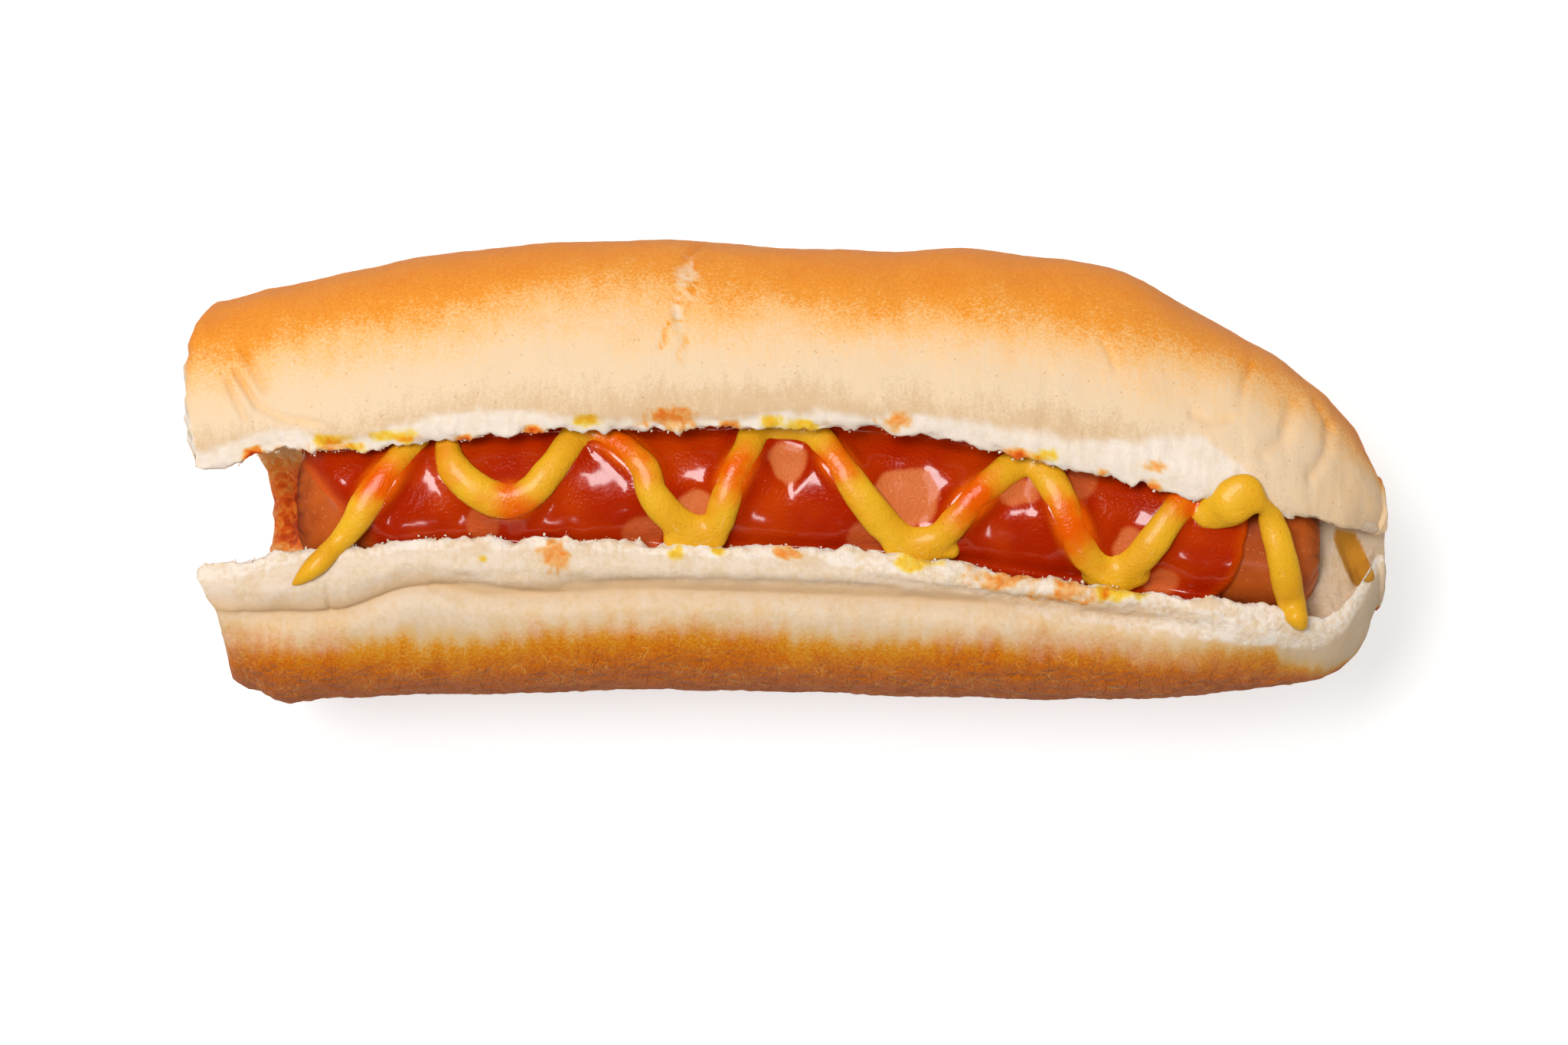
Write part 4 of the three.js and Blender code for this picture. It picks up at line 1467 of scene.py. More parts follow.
    def _painted_crumb_shade(self, at: Places) -> Array:
        """Work out where shade is painted on the crumb: darker down in the split, under the roll and at the
        dome's nose.

        Args:
            at: Where the points lie.

        Returns:
            How much painted shade each point's colour gets.
        """
        x = at.x
        # Painted shade: the crumb darkens deeper down in the split, under the roll's overhang and under the
        # dome's lip at the right end.
        deep = np.where(at.on(Side.WALL), smoothstep(47.5, 42.0, at.z + 0.8 * at.ragged), 0.0)
        deep = deep * smoothstep(-60.0, -50.0, x) * blend(1.0, 0.55, smoothstep(60.0, 66.0, x))
        under_roll = hump(at.roll, 0.7, 1.3) * at.base_half * at.upper * at.outside
        nose = 0.9 * at.on(Side.LIP) * at.dome_half * smoothstep(65.0, 71.0, x)
        painted_shade = np.maximum(deep + 0.75 * under_roll * smoothstep(60.0, 40.0, x), nose)
        return np.clip(painted_shade * (1.0 - self._closed(at)), 0.0, 1.0)

    def _pit(self, at: Places) -> tuple[Array, Array]:
        """Find the browned pocket beside the sausage's right tip.

        Args:
            at: Where the points lie.

        Returns:
            The distance from its middle, 1 at its edge, and 1 inside it.
        """
        across = at.y - self.pit_y
        along = (at.x - self.pit_x + self.pit_lean * across) / self.pit_half_length
        from_middle = (np.abs(along) ** 4 + np.abs(across / self.pit_half_width) ** 4) ** 0.25
        return from_middle, smoothstep(1.04, 0.94, from_middle + 0.04 * at.ragged) * ~at.outside * at.upper

    def _crack(self, at: Places) -> tuple[Array, Array]:
        """Find the torn crack that crosses the dome.

        Args:
            at: Where the points lie.

        Returns:
            Its rough open patch, and the fine lines that run on from it.
        """
        patch = self._spots(self.crack_patches, at.x, at.y, at.ragged, 0.7)
        line = sum(crack.share(at.x, at.y, at.ragged) for crack in self.cracks)
        return patch * at.dome_half, np.clip(line, 0.0, 1.0) * at.dome_half

    @staticmethod
    def _spots(spots: tuple[Spot, ...], x: Array, y: Array, ragged: Array, fray: float = 1.1) -> Array:
        """Join a list of patches.

        Args:
            spots: The patches.
            x: Each point's place along the bun.
            y: Each point's place across it.
            ragged: The noise that frays the patches' edges.
            fray: How strongly it does.

        Returns:
            1 inside any patch and 0 outside.
        """
        return np.max([spot.share(x, y, fray * ragged) for spot in spots], axis=0)

    def _stain(self, at: Places, crumb: Array) -> Array:
        """Work out where ketchup has soaked into the walls and lips of the split.

        Args:
            at: Where the points lie.
            crumb: How far each point is crumb.

        Returns:
            How soaked each point is.
        """
        x, y, z, noise = at.x, at.y, at.z, at.noise
        blot = 0.5 + 0.5 * noise.layered(at.points, 6.0)
        along = smoothstep(-75.0, -70.0, x + 3.0 * blot) * smoothstep(70.0, 56.0, x)
        deep = np.where(at.on(Side.WALL), smoothstep(46.5, 42.5, z + 1.6 * blot), 0.0)
        near = smoothstep(0.7, -0.2, np.where(at.from_dome > -1.0, at.from_dome, FAR))
        near = near * smoothstep(0.6, 0.85, blot)
        soaked = along * (0.95 * deep + 0.6 * near * crumb)
        web = smoothstep(-65.5, -67.5, x) * at.on(Side.WALL)
        stripe = smoothstep(2.6, -0.6, y + 2.0 * blot) * smoothstep(-10.6, -8.2, y + 1.4 * blot)
        fine = 0.5 + 0.5 * noise.layered(at.points, 2.2)
        stripe = stripe * (0.2 + 0.1 * fine + 0.16 * smoothstep(-71.5, -67.5, x))
        soaked = blend(soaked, 0.2 * smoothstep(4.5, 2.0, y) + stripe, web)
        ragged = noise.mixed(at.points, self.soaking)
        strength = 0.24 + 0.09 * noise(at.points, 1.7)
        spots = strength * self._spots(self.ketchup_spots, x, y, ragged) * at.upper
        return np.clip(np.maximum(soaked, spots), 0.0, 1.0)

    def _raised(self, at: Places, marks: dict[str, Array], fold: Array) -> Array:
        """Raise the points off the plain form, with frayed ends and an overhanging roll.

        Args:
            at: Where the points lie.
            marks: The numbers that say how baked, torn or folded they are.
            fold: How far each ring is unfolded.

        Returns:
            The points in their new places.
        """
        relief = self._relief(at, marks) * smoothstep(0.05, 0.5, fold)[:, None]
        fray = Noise(self.seed + 2).mixed(at.points, self.fray) * smoothstep(0.95, 0.2, fold)[:, None]
        points = at.points + grid_normals(at.points, closed=True) * relief[..., None]
        points[..., 0] += np.where(points[..., 0] < 0.0, fray, self.right_fray * fray)
        crisp = 0.7 * smoothstep(-38.0, -52.0, points[..., 0]) * self._along_groove(points[..., 0])
        points[..., 1] -= crisp * hump(marks["roll"], 0.9, 0.9)
        return points

    @staticmethod
    def _along_groove(x: Array) -> Array:
        """Give how much of the fold along the base there is."""
        return smoothstep(-79.0, -74.0, x) * smoothstep(60.0, 44.0, x)

    def _fringe(self, points: Array, rims: tuple[int, int], fold: Array) -> Array:
        """Pull teeth of torn crumb out of both lips, over the split.

        Args:
            points: The bun's points.
            rims: The columns at the edge of the dome's lip and of the base's.
            fold: How far each ring is unfolded.

        Returns:
            How far each point moves.
        """
        noise = Noise(self.seed + 3)
        shift = np.zeros(points.shape)
        teeth = self.teeth * noise.mixed(points, self.fringe) + 0.1
        lift = 0.4 * noise(points + 50.0, 1.3)
        x = points[..., 0]
        calm = blend(0.6, 1.0, smoothstep(66.0, 56.0, x)) * smoothstep(80.0, 73.0, x)
        for column, side in zip(rims, (-1.0, 1.0)):
            gap = np.linalg.norm((points - points[:, column][:, None])[..., 1:], axis=-1)
            near = hump(gap, 0.0, self.teeth_reach) * fold[:, None] * calm
            shift[..., 1] += side * near * teeth
            shift[..., 2] += near * lift
        return shift

    def _relief(self, at: Places, marks: dict[str, Array]) -> Array:
        """Work out how far each point stands out from the plain form.

        Args:
            at: Where the points lie.
            marks: The numbers that say how baked, torn or folded they are.

        Returns:
            The relief in millimetres.
        """
        noise = Noise(self.seed + 1)
        points, x = at.points, at.x
        outside, crumb, torn, roll = at.outside.astype(float), marks["crumb"], marks["torn"], marks["roll"]
        swell = noise.mixed(points, self.swell) + smoothstep(52.0, 66.0, x) * 0.3 * noise(points, 6.0)
        swell += smoothstep(-60.0, -72.0, x) * 0.3 * noise(points, 5.0)
        furrows = np.maximum(0.0, noise(points, 2.2, (1.0, 6.0, 6.0)) - 0.3) * (1.0 - marks["bake"])
        plates = marks["net"] * noise.mixed(points, self.plates)
        wool = noise.mixed(points, self.wool) * blend(1.0, 0.55, smoothstep(56.0, 64.0, x))
        fibres = noise.mixed(points, self.fibres)
        crust = outside * (1.0 - crumb) * (noise.mixed(points, self.skin) - 0.3 * furrows + plates)
        relief = outside * swell + crust
        relief += np.where(at.outside, np.where(torn > 0.0, fibres, 0.5 * wool), 0.8 * wool) * crumb
        relief -= 0.15 * torn * outside
        relief = np.where(at.outside, relief, relief * blend(1.0, 0.35, smoothstep(73.0, 78.0, x)))
        relief += outside * (marks["patch"] * (0.6 * wool - 0.15) - 0.4 * marks["line"])
        relief -= self._folds(at)
        relief += self._along_groove(x) * (0.3 * hump(roll, 2.7, 1.4) - 0.2 * hump(roll, -0.1, 0.7))
        relief -= self.pit_depth * smoothstep(1.1, 0.2, marks["pit_at"]) * marks["pit"]
        relief = np.where(marks["pit"] > 0.5, relief - 0.8 * wool * crumb, relief)
        return relief * smoothstep(0.0, 3.0, at.z)


@dataclass
class Crumbs:
    """Loose crumbs on and beside the torn lips."""

    lips: Array
    finish: BreadFinish = field(default_factory=BreadFinish)
    count: int = 820
    last: float = 60.0
    spread: Triple = (0.3, 0.22, 0.06)
    inset: float = 0.15
    sunk: float = 0.08
    smallest: float = 0.06
    growth: float = 0.06
    most_growth: float = 0.22
    seed: int = 57

    def build(self) -> bpy.types.Object:
        """Scatter small jagged lumps round points of the lips.

        Returns:
            The crumbs, as one object.
        """
        rng = np.random.default_rng(self.seed)
        corners, faces = self._lump()
        near = self.lips[self.lips[:, 0] < self.last]
        centre = near[rng.integers(0, len(near), self.count)]
        inward = np.where(centre[:, 1] > 1.0 - 0.1 * np.abs(centre[:, 0]), self.inset, -self.inset)
        centre = centre + rng.normal(0.0, 1.0, centre.shape) * np.array(self.spread)
        centre = centre + np.stack([0.0 * inward, inward, 0.0 * inward - self.sunk], axis=-1)
        size = self.smallest + rng.exponential(self.growth, (self.count, 1, 1)).clip(0.0, self.most_growth)
        size = size * rng.uniform(0.6, 1.4, (self.count, 1, 3))
        jitter = rng.uniform(0.55, 1.35, (self.count, len(corners), 1))
        points = centre[:, None, :] + corners[None] * size * jitter
        every = (faces[None] + len(corners) * np.arange(self.count)[:, None, None]).reshape(-1, 3)
        made = make_mesh("loose_crumbs", points.reshape(-1, 3), every)
        for name in ("bake", "base", "net", "torn", "painted_shade", "pit", "mustard", "ketchup"):
            add_attribute(made, name, np.zeros(self.count * len(corners)))
        add_attribute(made, "crumb", np.ones(self.count * len(corners)))
        made.data.materials.append(self.finish.make("crumbs"))
        return made

    @staticmethod
    def _lump() -> tuple[Array, Array]:
        """Make an icosahedron of radius 1.

        Returns:
            Its corners, and its faces as rows of three corner numbers.
        """
        golden = (1.0 + math.sqrt(5.0)) / 2.0
        signs = [(a, b) for a in (-1.0, 1.0) for b in (-golden, golden)]
        corners = np.array([np.roll((0.0, a, b), turn) for turn in range(3) for a, b in signs])
        corners /= np.linalg.norm(corners[0])
        gap = np.linalg.norm(corners[:, None] - corners[None], axis=-1)
        near = (gap > 0.1) & (gap < 1.2)
        faces = []
        for i, j, k in combinations(range(len(corners)), 3):
            if near[i, j] and near[j, k] and near[i, k]:
                facing = np.cross(corners[j] - corners[i], corners[k] - corners[i])
                faces.append((i, j, k) if np.dot(facing, corners[i]) > 0.0 else (i, k, j))
        return corners, np.array(faces)


# ---------------------------------------------------------------- the sausage


@dataclass
class Sausage:
    """The sausage's skin, wrinkled where its ends are gathered."""

    form: SausageForm = field(default_factory=SausageForm)
    bun: BunForm = field(default_factory=BunForm)
    finish: SkinFinish = field(default_factory=SkinFinish)
    rings: int = 300
    end_crowding: float = 0.48
    around: int = 120
    lumps: Octaves = (Octave(0.16, 14.0), Octave(0.05, 4.0))
    wrinkles: float = 9.5
    wrinkle_depth: float = 0.07
    end_dent: float = 1.6
    seed: int = 23

    def build(self) -> bpy.types.Object:
        """Make the skin.

        Returns:
            The skin.
        """
        form = self.form
        t = np.linspace(-1.0, 1.0, self.rings)
        middle, half = (form.left + form.right) / 2, (form.right - form.left) / 2
        x = middle + half * (t + self.end_crowding * (t - t**3))
        angle = np.linspace(0.0, 2.0 * np.pi, self.around, endpoint=False)
        xs, angles = np.meshgrid(x, -angle, indexing="ij")
        radius = form.skin(xs)
        from_end = np.minimum(xs - form.left, form.right - xs)
        wavy = self.wrinkles * angles + 1.1 * np.sin(3.0 * angles + xs * 0.7)
        furrow = (1.0 - np.abs(np.sin(wavy))) ** 2
        radius = radius * (1.0 - self.wrinkle_depth * smoothstep(3.6, 0.5, from_end) * furrow)
        raw = np.stack([xs, radius * np.sin(angles), radius * np.cos(angles)], axis=-1)
        noise = Noise(self.seed)
        radius = radius + noise.mixed(raw, self.lumps)
        dent = self.end_dent * smoothstep(0.55, 0.0, radius / form.radius) * smoothstep(7.0, 0.5, from_end)
        along = xs + np.where(xs < middle, dent, -dent)
        across, up = self.bun.axis(xs) + radius * np.sin(angles), form.height + radius * np.cos(angles)
        points = np.stack([along, across, up], axis=-1)
        made = make_mesh("sausage_skin", points.reshape(-1, 3), grid_faces(*points.shape[:2], closed=True))
        tip = 0.95 * smoothstep(1.7, 0.1, from_end + 0.8 * noise(raw, 2.2))
        tip += 0.5 * smoothstep(3.4, 0.6, from_end + 0.8 * noise(raw, 3.0)) * furrow
        add_attribute(made, "tip", np.clip(tip, 0.0, 0.9))
        made.data.materials.append(self.finish.make("sausage"))
        return made


# ---------------------------------------------------------------- the sauces


@dataclass(frozen=True)
class Stroke:
    """One stroke of sauce: (x, y, half width, how glazed it is) knots, in millimetres and shares."""

    knots: tuple[tuple[float, float, float, float], ...]
    half_height: float = 1.28
    over_dome: bool = False

    def path(self, step: float) -> Array:
        """Walk along the stroke.

        Args:
            step: How far apart the places are.

        Returns:
            The x, y, half width and glaze at each place.
        """
        knots = np.array(self.knots, float)
        gaps = np.linalg.norm(np.diff(knots[:, :2], axis=0), axis=1)
        at = np.concatenate([[0.0], np.cumsum(gaps)])
        walk = np.arange(0.0, at[-1] + step, step)
        columns = [Rail(tuple(zip(at, knots[:, c])))(walk) for c in range(4)]
        return np.stack(columns, axis=-1)


@dataclass(frozen=True)
class Window:
    """A patch where the ketchup is thin enough to show the skin: its middle, half sizes and clearness."""

    x: float
    y: float
    half_length: float
    half_width: float
    clear: float = 1.0
    narrowing: float = 0.0
    lean: float = 0.15
    squareness: float = 2.3

    def inside(self, x: Array, y: Array) -> Array:
        """Measure in from the patch's edge.

        Args:
            x: The places along the sausage.
            y: The places across it.

        Returns:
            How far inside the patch each place lies. It is below 0 outside.
        """
        right, up = x - self.x, y - self.y
        length = self.half_length * (1.0 + self.narrowing * np.clip(up / self.half_width, -1.2, 1.2))
        along, across = np.abs(right / length), np.abs((up - self.lean * right) / self.half_width)
        ring = (along**self.squareness + across**self.squareness) ** (1.0 / self.squareness)
        return (1.0 - ring) * min(self.half_length, self.half_width)


def nearest(points: Array, path: Array, batch: int = 4000) -> tuple[Array, Array]:
    """Find the nearest place on a path, seen from above.

    Args:
        points: The places to start from, with x and y in the first two columns.
        path: The path's x, y, half width and glaze.
        batch: How many points to measure at a time.

    Returns:
        The gap from each point to the path's edge, and the row of the path that is nearest.
    """
    gap, row = np.empty(len(points)), np.empty(len(points), int)
    for first in range(0, len(points), batch):
        some = slice(first, first + batch)
        reach = np.linalg.norm(points[some, None, :2] - path[None, :, :2], axis=-1) - path[None, :, 2]
        row[some] = np.argmin(reach, axis=1)
        gap[some] = np.min(reach, axis=1)
    return gap, row


@dataclass
class Ketchup:
    """Ketchup over the sausage from lip to lip, climbing the lips and the mustard, with clear patches."""

    strokes: tuple[Stroke, ...]
    form: SausageForm = field(default_factory=SausageForm)
    bun: BunForm = field(default_factory=BunForm)
    step: float = 0.24
    width: float = 20.0
    tuck: float = 1.2
    left_end: float = -61.6
    left_lean: float = 0.85
    right_end: float = 61.2
    right_bow: float = 0.045
    edge: Octaves = (Octave(0.6, 6.0), Octave(0.25, 2.6))
    edge_round: float = 1.6
    lumps: Octaves = (Octave(0.3, 10.0), Octave(0.09, 4.5), Octave(0.02, 1.6))
    rim_height: float = 42.0
    base_rim: float = 2.3
    dome_rim: float = 2.6
    rim_reach: float = 0.8
    thickness: Octaves = (Octave(0.45, 10.0), Octave(0.22, 4.0))
    patch_edge: Octaves = (Octave(0.5, 3.6), Octave(0.2, 1.6))
    seed: int = 31
    windows: tuple[Window, ...] = (
        Window(-0.2, 0.6, 2.2, 3.0, 1.0, 0.5),
        Window(15.4, -4.0, 4.5, 4.2),
        Window(-12.6, -5.4, 2.7, 2.5),
        Window(-19.4, -8.5, 3.0, 2.4, 0.5),
        Window(10.2, -9.2, 2.4, 2.7, 0.5),
        Window(30.6, -3.2, 2.4, 1.9, 0.9),
        Window(45.1, -10.3, 2.1, 2.5, 0.8),
        Window(38.7, -1.5, 2.0, 2.5, 0.55),
        Window(49.8, -15.3, 2.3, 1.9, 0.7),
        Window(-40.8, -7.2, 2.2, 2.8, 0.45),
    )

    def build(self) -> bpy.types.Object:
        """Make the ketchup as a sheet over the sausage.

        Returns:
            The ketchup.
        """
        form, bun, noise = self.form, self.bun, Noise(self.seed)
        x = np.arange(form.left + 1.0, form.right - 5.0, self.step)
        share = np.linspace(0.0, 1.0, round(self.width / self.step))
        xs, shares = np.meshgrid(x, share, indexing="ij")
        low, high = bun.base_lip(xs) - self.tuck, bun.dome_lip(xs) + self.tuck
        ys = low + (high - low) * shares
        flat = np.stack([xs, ys, np.zeros(xs.shape)], axis=-1)
        inside = smooth_min(self._from_left(xs, ys), self._from_right(xs, ys), 2.0)
        inside = inside + noise.mixed(flat, self.edge)
        climb, glaze = self._climb(flat)
        z = self._height(flat, inside, climb, noise)
        points = np.stack([xs, ys, z], axis=-1)
        faces = grid_faces(*points.shape[:2], closed=False)[:, ::-1]
        made = make_mesh("ketchup_coat", points.reshape(-1, 3), faces)
        clear = self._clear(flat, noise, -0.3, 0.45)
        thick = np.clip(0.9 + noise.mixed(flat, self.thickness) - 0.5 * clear, 0.0, 1.0)
        faded = 0.3 * smoothstep(4.0, 0.0, self._from_left(xs, ys) + 1.2 * noise(flat, 4.0))
        add_attribute(made, "thick", thick * smoothstep(0.0, 2.2, inside))
        add_attribute(made, "glaze", smoothstep(0.2, 1.1, climb) * glaze)
        add_attribute(made, "bare", np.maximum(clear, faded))
        made.data.materials.append(Sauce.KETCHUP.value.make("ketchup"))
        return made

    def _from_left(self, x: Array, y: Array) -> Array:
        """Give the distance in from the ketchup's slanting left end."""
        return x - self.left_end + self.left_lean * (y + 4.0)

    def _from_right(self, x: Array, y: Array) -> Array:
        """Give the distance in from the ketchup's bowed right end."""
        return self.right_end - self.right_bow * (y + 7.5) ** 2 - x

    def _height(self, flat: Array, inside: Array, climb: Array, noise: Noise) -> Array:
        """Lay the sheet over the skin and let it climb the lips.

        Args:
            flat: Its places seen from above.
            inside: How far in from the two ends each place is.
            climb: How far each place is raised beside the mustard.
            noise: The noise that makes it lumpy.

        Returns:
            The height of each place.
        """
        form, bun = self.form, self.bun
        x, y = flat[..., 0], flat[..., 1]
        body = np.sqrt(1.0 - (1.0 - np.clip(inside / self.edge_round, 0.0, 1.0)) ** 2)
        body = blend(smoothstep(0.0, 4.5, inside), body, smoothstep(-58.0, -50.0, x))
        coat = form.coat * (1.0 + noise.mixed(flat, self.lumps))
        coat = coat * (1.0 - 0.6 * self._clear(flat, noise, -1.8, 1.4)) + climb
        thickness = np.where(inside > 0.0, body * coat, -0.4 + np.clip(inside, -3.0, 0.0))
        across = np.clip(y - bun.axis(x), -9.6, 9.6)
        z = form.height + np.sqrt(np.maximum((form.skin(x) + thickness) ** 2 - across**2, 0.0))
        beside_base = np.exp(-np.maximum(y - bun.base_lip(x), 0.0) / self.rim_reach)
        beside_dome = np.exp(-np.maximum(bun.dome_lip(x) - y, 0.0) / self.rim_reach)
        rims = self.rim_height + np.maximum(self.base_rim * beside_base, self.dome_rim * beside_dome)
        rims = rims + 0.35 * noise(flat, 5.0)
        return np.where(inside > 0.0, -smooth_min(-z, -blend(z - 3.0, rims, body), 1.4), z)

    def _clear(self, flat: Array, noise: Noise, start: float, end: float) -> Array:
        """Wipe the ketchup away in its clear patches.

        Args:
            flat: The ketchup's places seen from above.
            noise: The noise that frays the patches' edges.
            start: How far in from a patch's edge the wiping starts.
            end: How far in it is full.

        Returns:
            How far each place is wiped.
        """
        ragged = noise.mixed(flat, self.patch_edge)
        x, y = flat[..., 0], flat[..., 1]
        shares = [w.clear * smoothstep(start, end, w.inside(x, y) + ragged) for w in self.windows]
        return np.max(shares, axis=0)

    def _climb(self, flat: Array) -> tuple[Array, Array]:
        """Raise the ketchup beside the mustard.

        Args:
            flat: The ketchup's places seen from above.

        Returns:
            How far each place is raised, and the glaze of the nearest stroke.
        """
        path = np.concatenate([stroke.path(0.5) for stroke in self.strokes])
        gap, row = nearest(flat.reshape(-1, 3), path)
        glaze = path[row, 3].reshape(flat.shape[:2])
        gap = np.maximum(gap.reshape(flat.shape[:2]) + 0.5, 0.0)
        return (0.35 + 0.75 * glaze) * hump(gap, 0.0, 1.3), glaze


@dataclass
class Drizzle:
    """Strokes and pools of one sauce, laid over whatever is on top and melted together."""

    name: str
    sauce: Sauce
    strokes: tuple[Stroke, ...]
    form: SausageForm = field(default_factory=SausageForm)
    bun: BunForm = field(default_factory=BunForm)
    step: float = 0.32
    walk: float = 0.4
    margin: float = 5.0
    bottom: float = 38.0
    top: float = 53.0
    bed: float = 0.8
    half_split: float = 9.0
    slack: int = 9
    melt: float = 1.6
    lift: float = 0.5
    wobble: Octaves = (Octave(0.14, 3.0), Octave(0.042, 1.3))
    glaze_edge: Octaves = (Octave(0.22, 3.4), Octave(0.1, 1.4))
    seed: int = 41

    def build(self) -> bpy.types.Object:
        """Make the sauce's mesh.

        Returns:
            The sauce.
        """
        paths = [stroke.path(self.walk) for stroke in self.strokes]
        every = np.concatenate(paths)
        low, high = every[:, :2].min(axis=0) - self.margin, every[:, :2].max(axis=0) + self.margin
        volume = Volume((*low, self.bottom), (*high, self.top), self.step)
        for stroke, path in zip(self.strokes, paths):
            volume.distance = smooth_min(volume.distance, self._poured(volume, stroke, path), self.melt)
        near = np.abs(volume.distance) < 2.0
        noise = Noise(self.seed)
        volume.distance[near] += noise.mixed(volume.points()[near], self.wobble)
        points, faces = volume.surface()
        made = make_mesh(self.name, points, faces)
        _, row = nearest(points, every)
        glazed = every[row, 3]
        ragged = smoothstep(0.02, 0.95, glazed + noise.mixed(points, self.glaze_edge))
        add_attribute(made, "thick", np.clip(0.6 + 0.5 * noise(points, 5.0), 0.0, 1.0))
        add_attribute(made, "glaze", ragged * smoothstep(0.0, 0.12, glazed))
        add_attribute(made, "bare", np.zeros(len(points)))
        made.data.materials.append(self.sauce.value.make(self.name))
        return made

    def _poured(self, volume: Volume, stroke: Stroke, path: Array) -> Array:
        """Pour one stroke.

        Args:
            volume: The box that it is poured in.
            stroke: The stroke.
            path: The x, y, half width and glaze along it.

        Returns:
            The distance to its surface from each cell of the box.
        """
        distance = np.full(volume.shape, Volume.EMPTY)
        z = self._surface(path[:, 0], path[:, 1], stroke.over_dome)
        for (x, y, half_width, _), height in zip(path, np.maximum(z, self._evened(z))):
            half_height = min(stroke.half_height, 0.9 * half_width)
            centre = np.array([x, y, height + self.lift * half_height])
            place, cells = volume.block(centre, half_width + 1.6)
            scale = np.array([1.0, 1.0, half_width / half_height])
            gap = np.linalg.norm((cells - centre) * scale, axis=-1) - half_width
            distance[place] = np.minimum(distance[place], gap)
        return distance

    def _surface(self, x: Array, y: Array, over_dome: bool) -> Array:
        """Find what the sauce lies on.

        Args:
            x: The places along the bun.
            y: The places across it.
            over_dome: Whether it may lie on the dome too, and not on the base alone.

        Returns:
            The height of the ketchup, or of the bread outside the split.
        """
        across = np.clip(y - self.bun.axis(x), -self.half_split, self.half_split)
        skin = self.form.skin(x)
        coat = self.form.height + np.sqrt((skin + self.bed) ** 2 - np.minimum(across**2, skin**2))
        outside = self.bun.base_lip(x) - y
        if over_dome:
            outside = np.maximum(outside, y - self.bun.dome_lip(x))
        return blend(coat, self.bun.top(x, y), smoothstep(-2.6, 0.6, outside))

    def _evened(self, z: Array) -> Array:
        """Even out a stroke's heights, since thick sauce bridges a step.

        Args:
            z: The heights along the stroke.

        Returns:
            The evened heights.
        """
        reach = min(self.slack, (len(z) - 1) // 2)
        window = np.hanning(2 * reach + 3)[1:-1]
        return np.convolve(np.pad(z, reach, mode="edge"), window / window.sum(), mode="valid")


# ---------------------------------------------------------------- the studio


@dataclass(frozen=True)
class Lamp:
    """A soft light that looks at the object, in metres and watts. Only a mirrored one makes highlights."""

    name: str
    place: Triple
    power: float
    width: float
    height: float
    mirrored: bool = False
    target: Triple = (0.0, 0.0, 0.03)

    def hang(self) -> None:
        """Put the light up."""
        lamp = bpy.data.lights.new(self.name, "AREA")
        lamp.shape = "RECTANGLE"
        lamp.size = self.width
        lamp.size_y = self.height
        lamp.energy = self.power
        made = bpy.data.objects.new(self.name, lamp)
        made.location = self.place
        made.visible_glossy = self.mirrored
        made.rotation_euler = (Vector(self.target) - Vector(self.place)).to_track_quat("-Z", "Y").to_euler()
        bpy.context.scene.collection.objects.link(made)


@dataclass
class Studio:
    """A pale floor, soft lights and a camera that looks straight down."""

    camera_place: Triple = (-0.75, -7.035, 725.0)
    focal_length: float = 117.2
    sensor_width: float = 36.0
    floor_size: float = 3.0
    floor_colour: Colour = (0.54, 0.54, 0.54)
    floor_mottle: float = 0.985
    floor_glow: float = 0.55
    sky: float = 0.2
    lamps: tuple[Lamp, ...] = (
        Lamp("key", (-0.29, 0.18, 0.94), 9.2, 0.54, 0.4, mirrored=True),
        Lamp("front", (0.1, -0.66, 0.78), 0.35, 0.16, 0.04, mirrored=True),
        Lamp("back", (-0.2, 0.95, 0.5), 1.7, 0.5, 0.4),
        Lamp("side", (-0.95, -0.35, 0.6), 1.6, 0.5, 0.5),
        Lamp("right", (0.8, -0.1, 0.7), 2.2, 0.4, 0.4),
    )

    def build(self) -> None:
        """Set the floor, the lights, the sky and the camera."""
        self._floor()
        for lamp in self.lamps:
            lamp.hang()
        self._sky()
        self._camera()
        bpy.context.scene.view_settings.view_transform = "Standard"

    def _floor(self) -> None:
        """Lay the floor."""
        half = self.floor_size / 2 / MM
        corners = np.array([(-half, -half, 0.0), (half, -half, 0.0), (half, half, 0.0), (-half, half, 0.0)])
        floor = make_mesh("floor", corners, np.array([[0, 1, 2, 3]]))
        g = Graph("studio_floor")
        shade = tuple(self.floor_mottle * c for c in self.floor_colour)
        colour = g.mix(self.floor_colour, shade, g.span(g.noise(60.0, 2.0), 0.3, 0.7))
        g.surface(Base_Color=colour, Roughness=0.9, IOR=1.3)
        g.surface(Emission_Color=(1.0, 1.0, 1.0), Emission_Strength=self.floor_glow)
        floor.data.materials.append(g.material)
        floor.visible_glossy = False

    def _sky(self) -> None:
        """Light the scene evenly from all round."""
        world = bpy.data.worlds.new("studio")
        world.use_nodes = True
        background = world.node_tree.nodes["Background"]
        background.inputs["Color"].default_value = (1.0, 1.0, 1.0, 1.0)
        background.inputs["Strength"].default_value = self.sky
        bpy.context.scene.world = world
        world.cycles_visibility.glossy = False

    def _camera(self) -> None:
        """Hang the camera over the object."""
        lens = bpy.data.cameras.new("camera")
        lens.lens = self.focal_length
        lens.sensor_width = self.sensor_width
        camera = bpy.data.objects.new("camera", lens)
        camera.location = tuple(c * MM for c in self.camera_place)
        bpy.context.scene.collection.objects.link(camera)
        bpy.context.scene.camera = camera


# ---------------------------------------------------------------- the whole

